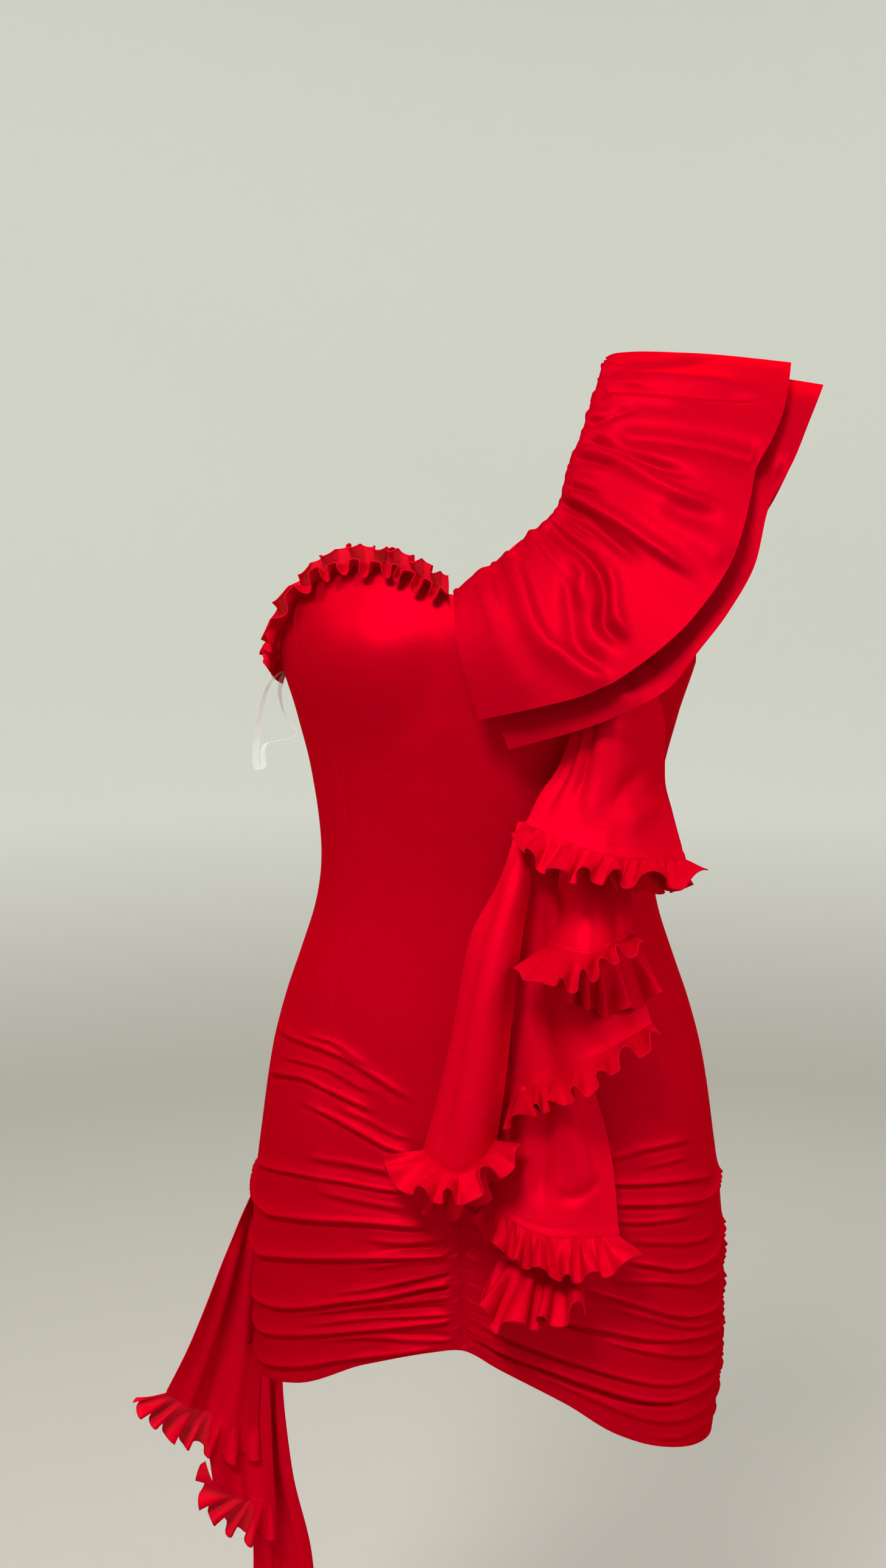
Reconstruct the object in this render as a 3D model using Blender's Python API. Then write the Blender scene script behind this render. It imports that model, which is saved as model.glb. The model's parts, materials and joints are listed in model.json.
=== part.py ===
"""A one-shoulder mini dress with a gathered collar, a waterfall flounce and a train, as it is worn.

Metres, +Z up. The front faces -Y and the wearer's left is +X. The tables give heights from the waist
line, "out" in front of the body's axis, and angles in degrees round the body: 0 at the centre front,
90 at the wearer's left side, 180 at the centre back, 270 or -90 at the right side. place() then moves
everything, so that the origin lies on the shoulder, under the strap.
"""
import math

import bpy
import numpy as np
from mathutils.bvhtree import BVHTree

# Cloth, with the bulk of its seams and doubled hems
BODY_CLOTH = 0.0016
COLLAR_CLOTH = 0.0012
FLOUNCE_CLOTH = 0.0013
FRILL_CLOTH = 0.0011
TAPE = 0.0010
SEAM_GAP = 0.0003
FLOUNCE_SEAT = 0.0008
SEAT = 0.0004
FRILL_GAP = 0.0010
SECOND_ROW_BEHIND = 0.0018

# The general figure that the cut fits: height, half width, front depth, back depth
FIGURE = (
    (0.300, 0.1660, 0.080, 0.092),
    (0.260, 0.1670, 0.090, 0.099),
    (0.220, 0.1670, 0.099, 0.104),
    (0.170, 0.1600, 0.110, 0.105),
    (0.120, 0.1450, 0.108, 0.101),
    (0.060, 0.1310, 0.099, 0.094),
    (0.000, 0.1260, 0.094, 0.090),
    (-0.044, 0.1370, 0.097, 0.100),
    (-0.084, 0.1520, 0.101, 0.111),
    (-0.142, 0.1680, 0.106, 0.126),
    (-0.200, 0.1770, 0.110, 0.135),
    (-0.250, 0.1835, 0.110, 0.133),
    (-0.301, 0.1867, 0.107, 0.127),
    (-0.380, 0.1857, 0.101, 0.115),
    (-0.460, 0.1780, 0.096, 0.108),
)
ROUNDNESS = 2.2

# Cups that the princess seams shape: middle, height, radius and depth
CUP_X = 0.083
CUP_HEIGHT = 0.165
CUP_RADIUS = 0.070
CUP_DEPTH = 0.014

# Way over the shoulder: run, front out, back out, height. Up to the chest the run is the height.
CHEST = 0.200
SHOULDER = (
    (0.200, 0.1050, 0.1050, 0.2000),
    (0.260, 0.0920, 0.1000, 0.2600),
    (0.300, 0.0790, 0.0900, 0.2980),
    (0.340, 0.0610, 0.0720, 0.3320),
    (0.370, 0.0420, 0.0500, 0.3530),
    (0.400, 0.0210, 0.0250, 0.3680),
    (0.424, 0.0040, 0.0050, 0.3719),
    (0.430, 0.00015, 0.00015, 0.3720),
)
SHOULDER_SEAM = 0.250
RIDGE = 0.430
STRAP_NECK_ANGLE = 46.5
STRAP_NECK_X = 0.0845
STRAP_X_PER_DEGREE = 0.0033
STRAP_TAPER_PER_DEGREE = 0.013
SHOULDER_MIDDLE_X = 0.112
SHOULDER_SLOPE = 0.35

# Origin: under the strap, on the wearer's left shoulder
ORIGIN = np.array([SHOULDER_MIDDLE_X, 0.0, 0.3704])

# Seams: run, angle
RIGHT_PRINCESS_SEAM = ((-0.46, -51.0), (-0.124, -51.0), (-0.025, -52.0), (0.05, -51.5), (0.17, -60.0), (0.24, -63.0))
FLOUNCE_SEAM = (
    (-0.46, 0.0), (-0.22, 0.5), (-0.15, 6.0), (-0.05, 16.0), (0.05, 27.0), (0.13, 38.0), (0.20, 50.0),
    (0.26, 55.0), (0.43, 55.0),
)
RIGHT_SIDE = -90.0
LEFT_SIDE = 90.0

# Upper edges: angle, run
STRAPLESS_EDGE = (
    (-90.0, 0.155), (-75.0, 0.170), (-66.0, 0.194), (-60.0, 0.212), (-52.0, 0.226), (-43.0, 0.232),
    (-32.0, 0.231), (-17.0, 0.221), (-5.0, 0.209),
)
NECK_EDGE = ((-5.0, 0.209), (8.6, 0.226), (28.0, 0.250), (60.0, 0.250))
ARMHOLE = ((50.0, 0.250), (67.0, 0.250), (72.0, 0.220), (79.0, 0.180), (90.0, 0.155))
BACK_EDGE = (
    (90.0, 0.155), (101.0, 0.180), (108.0, 0.220), (113.0, 0.250), (152.0, 0.250), (171.0, 0.226),
    (185.0, 0.212), (215.0, 0.195), (240.0, 0.178), (270.0, 0.155),
)
# Edges of the shoulder pieces: run, angle from the centre front or the centre back
STRAP_NECK_SIDE = ((0.250, 28.0), (0.270, 38.0), (0.300, 43.0), (0.335, 45.2), (0.380, 47.0), (0.430, 48.0))
STRAP_ARM_SIDE = ((0.250, 67.0), (0.290, 64.5), (0.360, 62.5), (0.430, 62.0))

# Hem and the line where the ruching starts: angle, height
HEM = (
    (-90.0, -0.418), (-61.0, -0.393), (-39.0, -0.363), (-13.0, -0.345), (-1.5, -0.341), (14.0, -0.354),
    (38.0, -0.380), (53.0, -0.406), (65.0, -0.422), (77.0, -0.432), (90.0, -0.437), (120.0, -0.440),
    (150.0, -0.436), (180.0, -0.432), (210.0, -0.430), (240.0, -0.425), (270.0, -0.418),
)
RUCHING_START = (
    (-90.0, -0.120), (-45.0, -0.120), (-17.0, -0.148), (0.0, -0.165), (17.0, -0.150), (45.0, -0.125),
    (90.0, -0.120), (180.0, -0.140), (270.0, -0.120),
)

# Ruched folds, each with its share of the way from the hem to the ruching's start at the right side,
# the centre front and the left side, its height at the right and the left, and the angles from the
# centre front at which it dies away there
RUCHED_FOLDS = (
    (0.045, 0.070, 0.065, 0.0025, 0.0035, 0.0, 0.0),
    (0.115, 0.165, 0.155, 0.0030, 0.0040, 0.0, 0.0),
    (0.200, 0.265, 0.255, 0.0035, 0.0040, 0.0, 0.0),
    (0.300, 0.370, 0.355, 0.0045, 0.0040, 0.0, 0.0),
    (0.430, 0.460, 0.460, 0.0040, 0.0040, 0.0, 0.0),
    (0.550, 0.575, 0.555, 0.0045, 0.0035, 0.0, 0.0),
    (0.645, 0.700, 0.630, 0.0035, 0.0030, 0.0, 10.0),
    (0.730, 0.780, 0.700, 0.0020, 0.0030, 28.0, 15.0),
    (0.810, 0.860, 0.790, 0.0035, 0.0025, 12.0, 25.0),
    (0.900, 0.910, 0.870, 0.0025, 0.0015, 30.0, 30.0),
    (0.980, 0.980, 0.950, 0.0035, 0.0010, 8.0, 35.0),
)
TROUGH_SHARE = 0.4
PINCH_ANGLE = 9.0
BACK_FADE = 0.6

# Neck edge under the collar: share of the way from the centre front to the shoulder, angle, run
COLLAR_SEAM = (
    (0.00, -4.0, 0.2085), (0.14, 8.6, 0.2245), (0.315, 26.0, 0.247), (0.484, 38.5, 0.269),
    (0.624, 43.3, 0.297), (0.76, 45.8, 0.335), (0.89, 47.6, 0.380), (1.00, 48.6, 0.430),
)
# Free edges of the two layers: share, x, out, height
COLLAR_TOP_EDGE = (
    (0.00, 0.0153, 0.1350, 0.1243), (0.12, 0.0584, 0.1500, 0.1344), (0.23, 0.0945, 0.1550, 0.1450),
    (0.35, 0.1280, 0.1530, 0.1660), (0.46, 0.1580, 0.1450, 0.1940), (0.61, 0.1845, 0.1300, 0.2370),
    (0.71, 0.1932, 0.1100, 0.2720), (0.78, 0.1965, 0.0960, 0.2915), (0.85, 0.2080, 0.0800, 0.3150),
    (0.91, 0.2160, 0.0600, 0.3380), (0.95, 0.2190, 0.0420, 0.3560), (0.98, 0.2210, 0.0200, 0.3720),
    (1.00, 0.2215, 0.0000, 0.3760),
)
COLLAR_UNDER_EDGE = (
    (0.00, 0.0347, 0.1270, 0.1038), (0.15, 0.0872, 0.1400, 0.1198), (0.23, 0.1145, 0.1430, 0.1310),
    (0.33, 0.1435, 0.1380, 0.1479), (0.42, 0.1617, 0.1330, 0.1719), (0.505, 0.1798, 0.1240, 0.1963),
    (0.615, 0.1976, 0.1080, 0.2301), (0.72, 0.2057, 0.0920, 0.2669), (0.78, 0.2150, 0.0810, 0.2850),
    (0.84, 0.2240, 0.0680, 0.3040), (0.91, 0.2330, 0.0480, 0.3280), (0.96, 0.2410, 0.0250, 0.3490),
    (1.00, 0.2450, 0.0000, 0.3600),
)
# Deep folds of the collar: share at the seam, share at the edge, height, half width as a share
COLLAR_FOLDS = (
    (0.23, 0.31, 0.0070, 0.030), (0.40, 0.345, -0.0060, 0.030), (0.52, 0.58, 0.0050, 0.035),
    (0.70, 0.72, 0.0060, 0.030), (0.775, 0.785, -0.0070, 0.030), (0.89, 0.92, -0.0050, 0.030),
)
COLLAR_GATHERS = 12
COLLAR_GATHER_DEPTH = 0.0040
COLLAR_LIFT_UNDER = 0.0008
COLLAR_LIFT_TOP = 0.0030
COLLAR_ARCH_UNDER = 0.008
COLLAR_ARCH_TOP = 0.012
COLLAR_ARCH_AT_SHOULDER = 0.4
COLLAR_BACK_SHARE = 0.95

# Neckline frill: waves round the strapless edge, width of a row and depth of its waves
NECKLINE_WAVES = 22
NECKLINE_WIDTH = 0.015
NECKLINE_WAVE_DEPTH = 0.0042

# Flounce folds: each row has x, height and out of the left edge, the middle and the right edge. An out
# of 0 seats the point on the body.
FLOUNCE_FOLDS = (
    (
        (0.086, 0.168, 0.000, 0.107, 0.168, 0.000, 0.128, 0.166, 0.000),
        (0.085, 0.159, 0.000, 0.107, 0.159, 0.000, 0.129, 0.157, 0.000),
        (0.083, 0.150, 0.000, 0.107, 0.150, 0.000, 0.130, 0.148, 0.000),
        (0.076, 0.122, 0.125, 0.105, 0.120, 0.129, 0.140, 0.115, 0.086),
        (0.064, 0.090, 0.128, 0.104, 0.085, 0.134, 0.141, 0.080, 0.088),
        (0.052, 0.072, 0.133, 0.103, 0.060, 0.140, 0.147, 0.056, 0.094),
        (0.043, 0.052, 0.139, 0.101, 0.036, 0.148, 0.157, 0.024, 0.107),
    ),
    (
        (0.072, 0.046, 0.000, 0.084, 0.046, 0.000, 0.096, 0.046, 0.000),
        (0.067, 0.014, 0.108, 0.089, 0.012, 0.113, 0.112, 0.014, 0.096),
        (0.063, -0.009, 0.117, 0.090, -0.012, 0.124, 0.119, -0.006, 0.102),
        (0.059, -0.034, 0.128, 0.090, -0.036, 0.136, 0.120, -0.028, 0.112),
    ),
    (
        (0.045, 0.034, 0.000, 0.053, 0.034, 0.000, 0.061, 0.034, 0.000),
        (0.040, -0.010, 0.104, 0.060, -0.010, 0.108, 0.080, -0.010, 0.104),
        (0.035, -0.050, 0.108, 0.068, -0.048, 0.112, 0.104, -0.044, 0.103),
        (0.033, -0.092, 0.112, 0.078, -0.078, 0.118, 0.125, -0.066, 0.104),
        (0.034, -0.144, 0.118, 0.089, -0.113, 0.125, 0.136, -0.092, 0.112),
    ),
    (
        (0.037, 0.050, 0.000, 0.042, 0.050, 0.000, 0.047, 0.050, 0.000),
        (0.029, 0.015, 0.113, 0.039, 0.017, 0.119, 0.048, 0.019, 0.113),
        (0.006, -0.028, 0.125, 0.026, -0.028, 0.135, 0.044, -0.026, 0.127),
        (-0.004, -0.071, 0.133, 0.018, -0.071, 0.145, 0.041, -0.067, 0.136),
        (-0.013, -0.112, 0.138, 0.012, -0.114, 0.151, 0.038, -0.106, 0.142),
        (-0.024, -0.159, 0.141, 0.005, -0.161, 0.155, 0.034, -0.146, 0.145),
        (-0.031, -0.184, 0.142, 0.000, -0.190, 0.156, 0.030, -0.172, 0.146),
    ),
    (
        (0.032, -0.104, 0.000, 0.054, -0.100, 0.000, 0.076, -0.096, 0.000),
        (0.031, -0.122, 0.000, 0.058, -0.118, 0.000, 0.085, -0.112, 0.000),
        (0.029, -0.150, 0.114, 0.062, -0.146, 0.119, 0.095, -0.140, 0.109),
        (0.026, -0.186, 0.119, 0.065, -0.180, 0.123, 0.105, -0.171, 0.114),
        (0.021, -0.206, 0.122, 0.065, -0.208, 0.129, 0.111, -0.198, 0.120),
        (0.017, -0.223, 0.127, 0.065, -0.237, 0.138, 0.116, -0.240, 0.131),
    ),
    (
        (0.030, -0.222, 0.000, 0.050, -0.222, 0.000, 0.070, -0.222, 0.000),
        (0.029, -0.243, 0.116, 0.053, -0.244, 0.119, 0.080, -0.244, 0.115),
        (0.028, -0.262, 0.120, 0.056, -0.265, 0.125, 0.088, -0.265, 0.120),
    ),
)
RIPPLES_START = 0.25
FLOUNCE_RIPPLES = (
    (3, 0.0030), (2, 0.0025), (3, 0.0030), (2, 0.0030), (2, 0.0035), (2, 0.0010),
)

# Frills of the flounce: fold, row, waves, wave depth, and the free edge as share, x, height, out
FLOUNCE_FRILLS = (
    (1, "a", 9, 0.0055, (
        (0.00, 0.034, 0.044, 0.137), (0.08, 0.046, 0.036, 0.150), (0.25, 0.065, 0.025, 0.159),
        (0.51, 0.098, 0.022, 0.165), (0.76, 0.129, 0.016, 0.159), (0.92, 0.154, 0.011, 0.140),
        (1.00, 0.174, 0.017, 0.118),
    )),
    (1, "b", 5, 0.0045, (
        (0.40, 0.099, 0.016, 0.134), (0.65, 0.127, 0.008, 0.127), (0.85, 0.146, 0.003, 0.114),
        (1.00, 0.160, 0.005, 0.096),
    )),
    (2, "a", 6, 0.0042, (
        (0.00, 0.038, -0.046, 0.154), (0.12, 0.053, -0.047, 0.155), (0.36, 0.078, -0.057, 0.152),
        (0.68, 0.103, -0.048, 0.147), (0.88, 0.121, -0.038, 0.132), (1.00, 0.141, -0.026, 0.115),
    )),
    (2, "b", 6, 0.0045, (
        (0.05, 0.064, -0.062, 0.120), (0.31, 0.081, -0.072, 0.129), (0.70, 0.107, -0.078, 0.126),
        (1.00, 0.144, -0.068, 0.106),
    )),
    (3, "a", 8, 0.0045, (
        (0.00, 0.030, -0.166, 0.126), (0.14, 0.056, -0.151, 0.134), (0.32, 0.074, -0.143, 0.138),
        (0.48, 0.091, -0.135, 0.140), (0.70, 0.111, -0.118, 0.139), (1.00, 0.145, -0.099, 0.121),
    )),
    (4, "a", 8, 0.0055, (
        (0.00, -0.058, -0.193, 0.144), (0.16, -0.043, -0.205, 0.155), (0.35, -0.023, -0.203, 0.163),
        (0.58, 0.003, -0.204, 0.167), (0.80, 0.026, -0.191, 0.164), (1.00, 0.052, -0.178, 0.147),
    )),
    (4, "b", 6, 0.0045, (
        (0.00, -0.047, -0.210, 0.130), (0.35, -0.021, -0.220, 0.138), (0.70, 0.007, -0.218, 0.138),
        (1.00, 0.032, -0.202, 0.128),
    )),
    (5, "a", 8, 0.0055, (
        (0.00, 0.007, -0.233, 0.130), (0.17, 0.029, -0.248, 0.142), (0.42, 0.057, -0.257, 0.149),
        (0.71, 0.089, -0.260, 0.152), (0.91, 0.117, -0.256, 0.145), (1.00, 0.134, -0.251, 0.132),
    )),
    (6, "a", 5, 0.0060, (
        (0.00, 0.016, -0.292, 0.132), (0.30, 0.032, -0.302, 0.140), (0.65, 0.060, -0.298, 0.142),
        (1.00, 0.094, -0.284, 0.136),
    )),
)

# Train: each row has x, height and y of the outer edge, the middle and the inner edge
TRAIN_FOLDS = (
    (
        (-0.1900, -0.263, -0.012, -0.1900, -0.264, -0.003, -0.1900, -0.265, 0.006),
        (-0.2094, -0.316, -0.008, -0.2030, -0.318, -0.001, -0.1955, -0.320, 0.006),
        (-0.2273, -0.359, -0.012, -0.2120, -0.364, 0.002, -0.1965, -0.368, 0.008),
        (-0.2465, -0.402, -0.014, -0.2210, -0.412, 0.004, -0.1960, -0.420, 0.010),
        (-0.2690, -0.444, -0.012, -0.2290, -0.466, 0.000, -0.1945, -0.479, 0.006),
    ),
    (
        (-0.1900, -0.395, 0.012, -0.1900, -0.396, 0.020, -0.1900, -0.397, 0.028),
        (-0.2280, -0.450, 0.022, -0.2080, -0.450, 0.030, -0.1880, -0.450, 0.030),
        (-0.2290, -0.490, 0.016, -0.2070, -0.495, 0.022, -0.1850, -0.498, 0.022),
        (-0.2240, -0.528, 0.008, -0.2020, -0.538, 0.013, -0.1810, -0.541, 0.012),
    ),
    (
        (-0.1850, -0.385, 0.032, -0.1850, -0.386, 0.040, -0.1800, -0.387, 0.048),
        (-0.2050, -0.450, 0.047, -0.1930, -0.450, 0.052, -0.1810, -0.450, 0.047),
        (-0.2060, -0.540, 0.040, -0.1900, -0.540, 0.048, -0.1720, -0.540, 0.038),
        (-0.2060, -0.620, 0.036, -0.1820, -0.620, 0.047, -0.1560, -0.618, 0.034),
        (-0.2180, -0.710, 0.034, -0.1840, -0.712, 0.050, -0.1490, -0.708, 0.032),
        (-0.2320, -0.772, 0.030, -0.1870, -0.780, 0.050, -0.1420, -0.774, 0.028),
    ),
)
TRAIN_RIPPLES = ((2, 0.0060), (1, 0.0050), (2, 0.0070))
# Frills of the train: fold, waves, wave depth, and the free edge as share, x, height, y
TRAIN_FRILLS = (
    (1, 6, 0.0050, (
        (0.00, -0.292, -0.452, -0.014), (0.25, -0.268, -0.470, -0.014), (0.55, -0.238, -0.490, -0.008),
        (0.80, -0.214, -0.500, 0.000), (1.00, -0.195, -0.502, 0.004),
    )),
    (2, 5, 0.0050, (
        (0.00, -0.236, -0.544, 0.006), (0.40, -0.214, -0.560, 0.006), (1.00, -0.178, -0.564, 0.010),
    )),
    (3, 7, 0.0060, (
        (0.00, -0.246, -0.790, 0.024), (0.50, -0.188, -0.803, 0.052), (1.00, -0.132, -0.794, 0.022),
    )),
)

# Clear elastic loop at the right underarm: its route as x, out, height, and its width
HANGER_ROUTE = (
    (-0.1520, 0.012, 0.1400), (-0.1580, 0.016, 0.1280), (-0.1640, 0.020, 0.1080), (-0.1690, 0.018, 0.0860),
    (-0.1680, 0.012, 0.0740), (-0.1600, 0.006, 0.0690), (-0.1500, 0.002, 0.0740), (-0.1460, 0.000, 0.0880),
    (-0.1480, -0.001, 0.1040), (-0.1520, 0.001, 0.1240), (-0.1535, 0.004, 0.1340),
)
HANGER_WIDTH = 0.007
HANGER_SAMPLES = 2

# Mesh density
RUN_ROWS = 11
STRAP_ROWS = 10
COLLAR_ROWS = 5
FLOUNCE_COLUMNS = 10
TRAIN_COLUMNS = 10
SAMPLES_PER_GATHER = 2
SAMPLES_PER_WAVE = 4
NORMAL_STEP_DEGREES = 0.5
NORMAL_STEP_RUN = 0.002
SHARE_STEP = 0.01

# Colours: base colour, roughness
RED_KNIT = ((0.62, 0.000, 0.030), 0.62)
RED_CHIFFON = ((0.68, 0.002, 0.030), 0.50)
CLEAR = ((0.80, 0.80, 0.80), 0.15)


class Curve:
    """A smooth curve through rows whose first column increases, with no overshoot between rows."""

    def __init__(self, rows):
        data = np.array(sorted(rows), float)
        self.at, self.values = data[:, 0], data[:, 1:]
        rise = np.diff(self.values, axis=0) / np.diff(self.at)[:, None]
        before, after = rise[:-1], rise[1:]
        total = np.where(before * after > 0, before + after, 1.0)
        inner = np.where(before * after > 0, 2 * before * after / total, 0.0)
        self.slope = np.vstack([rise[:1], inner, rise[-1:]])

    def __call__(self, at):
        at = min(max(at, self.at[0]), self.at[-1])
        k = min(max(int(np.searchsorted(self.at, at)) - 1, 0), len(self.at) - 2)
        step = self.at[k + 1] - self.at[k]
        t = (at - self.at[k]) / step
        value = (
            (2 * t**3 - 3 * t**2 + 1) * self.values[k] + (t**3 - 2 * t**2 + t) * step * self.slope[k]
            + (3 * t**2 - 2 * t**3) * self.values[k + 1] + (t**3 - t**2) * step * self.slope[k + 1]
        )
        return float(value[0]) if len(value) == 1 else value


figure = Curve(FIGURE)
shoulder = Curve(SHOULDER)
hem = Curve(HEM)
ruching_start = Curve(RUCHING_START)


def ease(low, high, value):
    """0 below low, 1 above high, and smooth between."""
    t = min(max((value - low) / (high - low), 0.0), 1.0)
    return t * t * (3 - 2 * t)


def mix(a, b, share):
    return a + (b - a) * share


def unit(vector):
    return vector / np.linalg.norm(vector)


def torso(angle, height):
    """Point of the figure's surface, with its cups, at an angle in degrees and a height."""
    half, front, back = figure(height)
    side, ahead = math.sin(math.radians(angle)), math.cos(math.radians(angle))
    deep = front if ahead > 0 else back
    reach = (abs(side / half) ** ROUNDNESS + abs(ahead / deep) ** ROUNDNESS) ** (-1 / ROUNDNESS)
    x, y = reach * side, -reach * ahead
    if ahead > 0:
        for cup_x in (-CUP_X, CUP_X):
            away = ((x - cup_x) ** 2 + (height - CUP_HEIGHT) ** 2) / CUP_RADIUS**2
            if away < 1:
                y -= CUP_DEPTH * (1 - away) ** 2
    return np.array([x, y, height])


def surface(angle, run):
    """Point of the cloth's outer face. Left of the neck, the run goes on over the shoulder."""
    from_front = angle if angle <= LEFT_SIDE else 180.0 - angle
    on_strap = ease(20.0, 42.0, from_front)
    if run <= CHEST or on_strap == 0:
        return torso(angle, run)
    front, back, height = shoulder(run)
    point = torso(angle, min(run, FIGURE[0][0]))
    past_neck = from_front - STRAP_NECK_ANGLE
    taper = 1 - STRAP_TAPER_PER_DEGREE * max(past_neck, 0.0)
    out_y = taper * (-front if angle <= LEFT_SIDE else back)
    ridge_x = STRAP_NECK_X + STRAP_X_PER_DEGREE * past_neck
    x = mix(point[0], ridge_x, ease(0.25, 0.37, run) * on_strap)
    y = mix(point[1], out_y, ease(CHEST, 0.30, run) * on_strap)
    slope = SHOULDER_SLOPE * (x - SHOULDER_MIDDLE_X) * ease(0.30, RIDGE, run)
    return np.array([x, y, height - slope])


def normal(angle, run):
    across = surface(angle + NORMAL_STEP_DEGREES, run) - surface(angle - NORMAL_STEP_DEGREES, run)
    along = surface(angle, run + NORMAL_STEP_RUN) - surface(angle, run - NORMAL_STEP_RUN)
    return unit(np.cross(across, along))


class Cloth:
    """The outer faces of the body panels, on which other pieces are seated."""

    def __init__(self):
        self.points, self.faces = [], []

    def add(self, grid):
        rows, columns = grid.shape[:2]
        start = len(self.points)
        self.points += [tuple(map(float, point)) for point in grid.reshape(-1, 3)]
        for r in range(rows - 1):
            for c in range(columns - 1):
                a = start + r * columns + c
                self.faces += [(a, a + 1, a + columns + 1), (a, a + columns + 1, a + columns)]

    def finish(self):
        self.tree = BVHTree.FromPolygons(self.points, self.faces)

    def seat(self, point, lift):
        """The nearest point of the faces, moved out by lift."""
        spot, out, _, _ = self.tree.find_nearest(tuple(point))
        return np.array(spot) + np.array(out) * lift

    def seat_in_front(self, x, height, lift):
        """The point of the faces that is seen from the front at x and height, moved out by lift."""
        spot, out, _, _ = self.tree.ray_cast((x, -1.0, height), (0.0, 1.0, 0.0))
        return np.array(spot) + np.array(out) * lift


cloth = Cloth()
UP = np.array([0.0, 0.0, 1.0])


def side_share(angle):
    """0 at the centre front, 1 at either side seam and behind it."""
    return min(abs(angle) / LEFT_SIDE, 1.0)


def fold_line(fold, angle):
    """Share of the way from the hem to the ruching's start, of a ruched fold at an angle."""
    right, centre, left = fold[:3]
    if angle > LEFT_SIDE:
        return mix(left, right, (angle - LEFT_SIDE) / 180.0)
    return mix(centre, left if angle > 0 else right, side_share(angle))


def fold_height(fold, angle):
    """Height of a ruched fold at an angle. It is pinched flat at the centre front."""
    right_high, left_high, right_end, left_end = fold[3:]
    if angle > LEFT_SIDE:
        behind = (angle - LEFT_SIDE) / 180.0
        return mix(left_high, right_high, behind) * (1 - BACK_FADE * math.sin(math.pi * behind))
    high, end = (left_high, left_end) if angle > 0 else (right_high, right_end)
    return high * ease(end, end + PINCH_ANGLE, abs(angle))


def ruched_rows():
    """Rows of the ruched skirt from the hem up: fold below, fold above, and share of the ridge."""
    flat_hem = (0.0,) * 7
    flat_start = (1.0, 1.0, 1.0, 0.0, 0.0, 0.0, 0.0)
    folds = (flat_hem,) + RUCHED_FOLDS + (flat_start,)
    rows = []
    for below, above in zip(folds[:-1], folds[1:]):
        rows.append((below, below, 1.0))
        rows.append((below, above, -TROUGH_SHARE))
    rows.append((flat_start, flat_start, 1.0))
    return rows


def row_run(angle, top, row):
    """Run of a ruched row, or of a row at a share of the plain cloth above it."""
    if isinstance(row, tuple):
        line = (fold_line(row[0], angle) + fold_line(row[1], angle)) / 2
        return mix(hem(angle), ruching_start(angle), line)
    return mix(ruching_start(angle), top, row)


def row_height(angle, row):
    if isinstance(row, tuple):
        below, above, share = row
        return share * (fold_height(below, angle) + fold_height(above, angle)) / 2
    return 0.0


def panel(name, left_seam, right_seam, top_edge, shares):
    """A body panel between two seams, with columns at the given shares of its width."""
    rows = ruched_rows() + [k / RUN_ROWS for k in range(1, RUN_ROWS + 1)]
    outer, inner = [], []
    for share in shares:
        def column_angle(run):
            left, right = left_seam(run), right_seam(run)
            point = surface(mix(left, right, share), run)
            gap = math.degrees(SEAM_GAP / 2 / math.hypot(point[0], point[1]))
            return mix(left + gap, right - gap, share)
        top = CHEST
        for _ in range(60):
            top = (top + top_edge(column_angle(top))) / 2
        outer.append([])
        inner.append([])
        for row in rows:
            angle = column_angle(CHEST)
            for _ in range(12):
                angle = column_angle(row_run(angle, top, row))
            raised = row_height(angle, row)
            run = row_run(angle, top, row)
            out, point = normal(angle, run), surface(angle, run)
            outer[-1].append(point + out * raised)
            inner[-1].append(point + out * (raised - BODY_CLOTH))
    panel_wall(name, outer, inner)


def panel_wall(name, outer, inner):
    """The wall of a body panel from its columns, which other pieces can then be seated on."""
    outer, inner = np.swapaxes(np.array(outer), 0, 1), np.swapaxes(np.array(inner), 0, 1)
    cloth.add(outer)
    wall(name, outer, inner, RED_KNIT)


def strap(name, back):
    """A shoulder piece, from the panels' upper edge to the shoulder seam."""
    neck_side, arm_side = Curve(STRAP_NECK_SIDE), Curve(STRAP_ARM_SIDE)
    outer, inner = [], []
    for share in (0.0, 0.25, 0.5, 0.75, 1.0):
        outer.append([])
        inner.append([])
        for r in range(STRAP_ROWS + 1):
            run = mix(SHOULDER_SEAM + SEAM_GAP, RIDGE, r / STRAP_ROWS)
            angle = mix(neck_side(run), arm_side(run), share)
            if back:
                angle = 180.0 - mix(arm_side(run), neck_side(run), share)
            out, point = normal(angle, run), surface(angle, run)
            outer[-1].append(point)
            inner[-1].append(point - out * BODY_CLOTH)
    panel_wall(name, outer, inner)


def grid_normals(grid):
    """Normals of a grid of points, from its rows and columns."""
    along = np.gradient(grid, axis=0)
    across = np.gradient(grid, axis=1)
    normals = np.cross(across, along)
    return normals / np.linalg.norm(normals, axis=2, keepdims=True)


def sheet(name, grid, thickness, colour, normals=None):
    """A wall of even thickness on both sides of a grid of points."""
    half = (grid_normals(grid) if normals is None else normals) * thickness / 2
    wall(name, grid + half, grid - half, colour)


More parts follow.
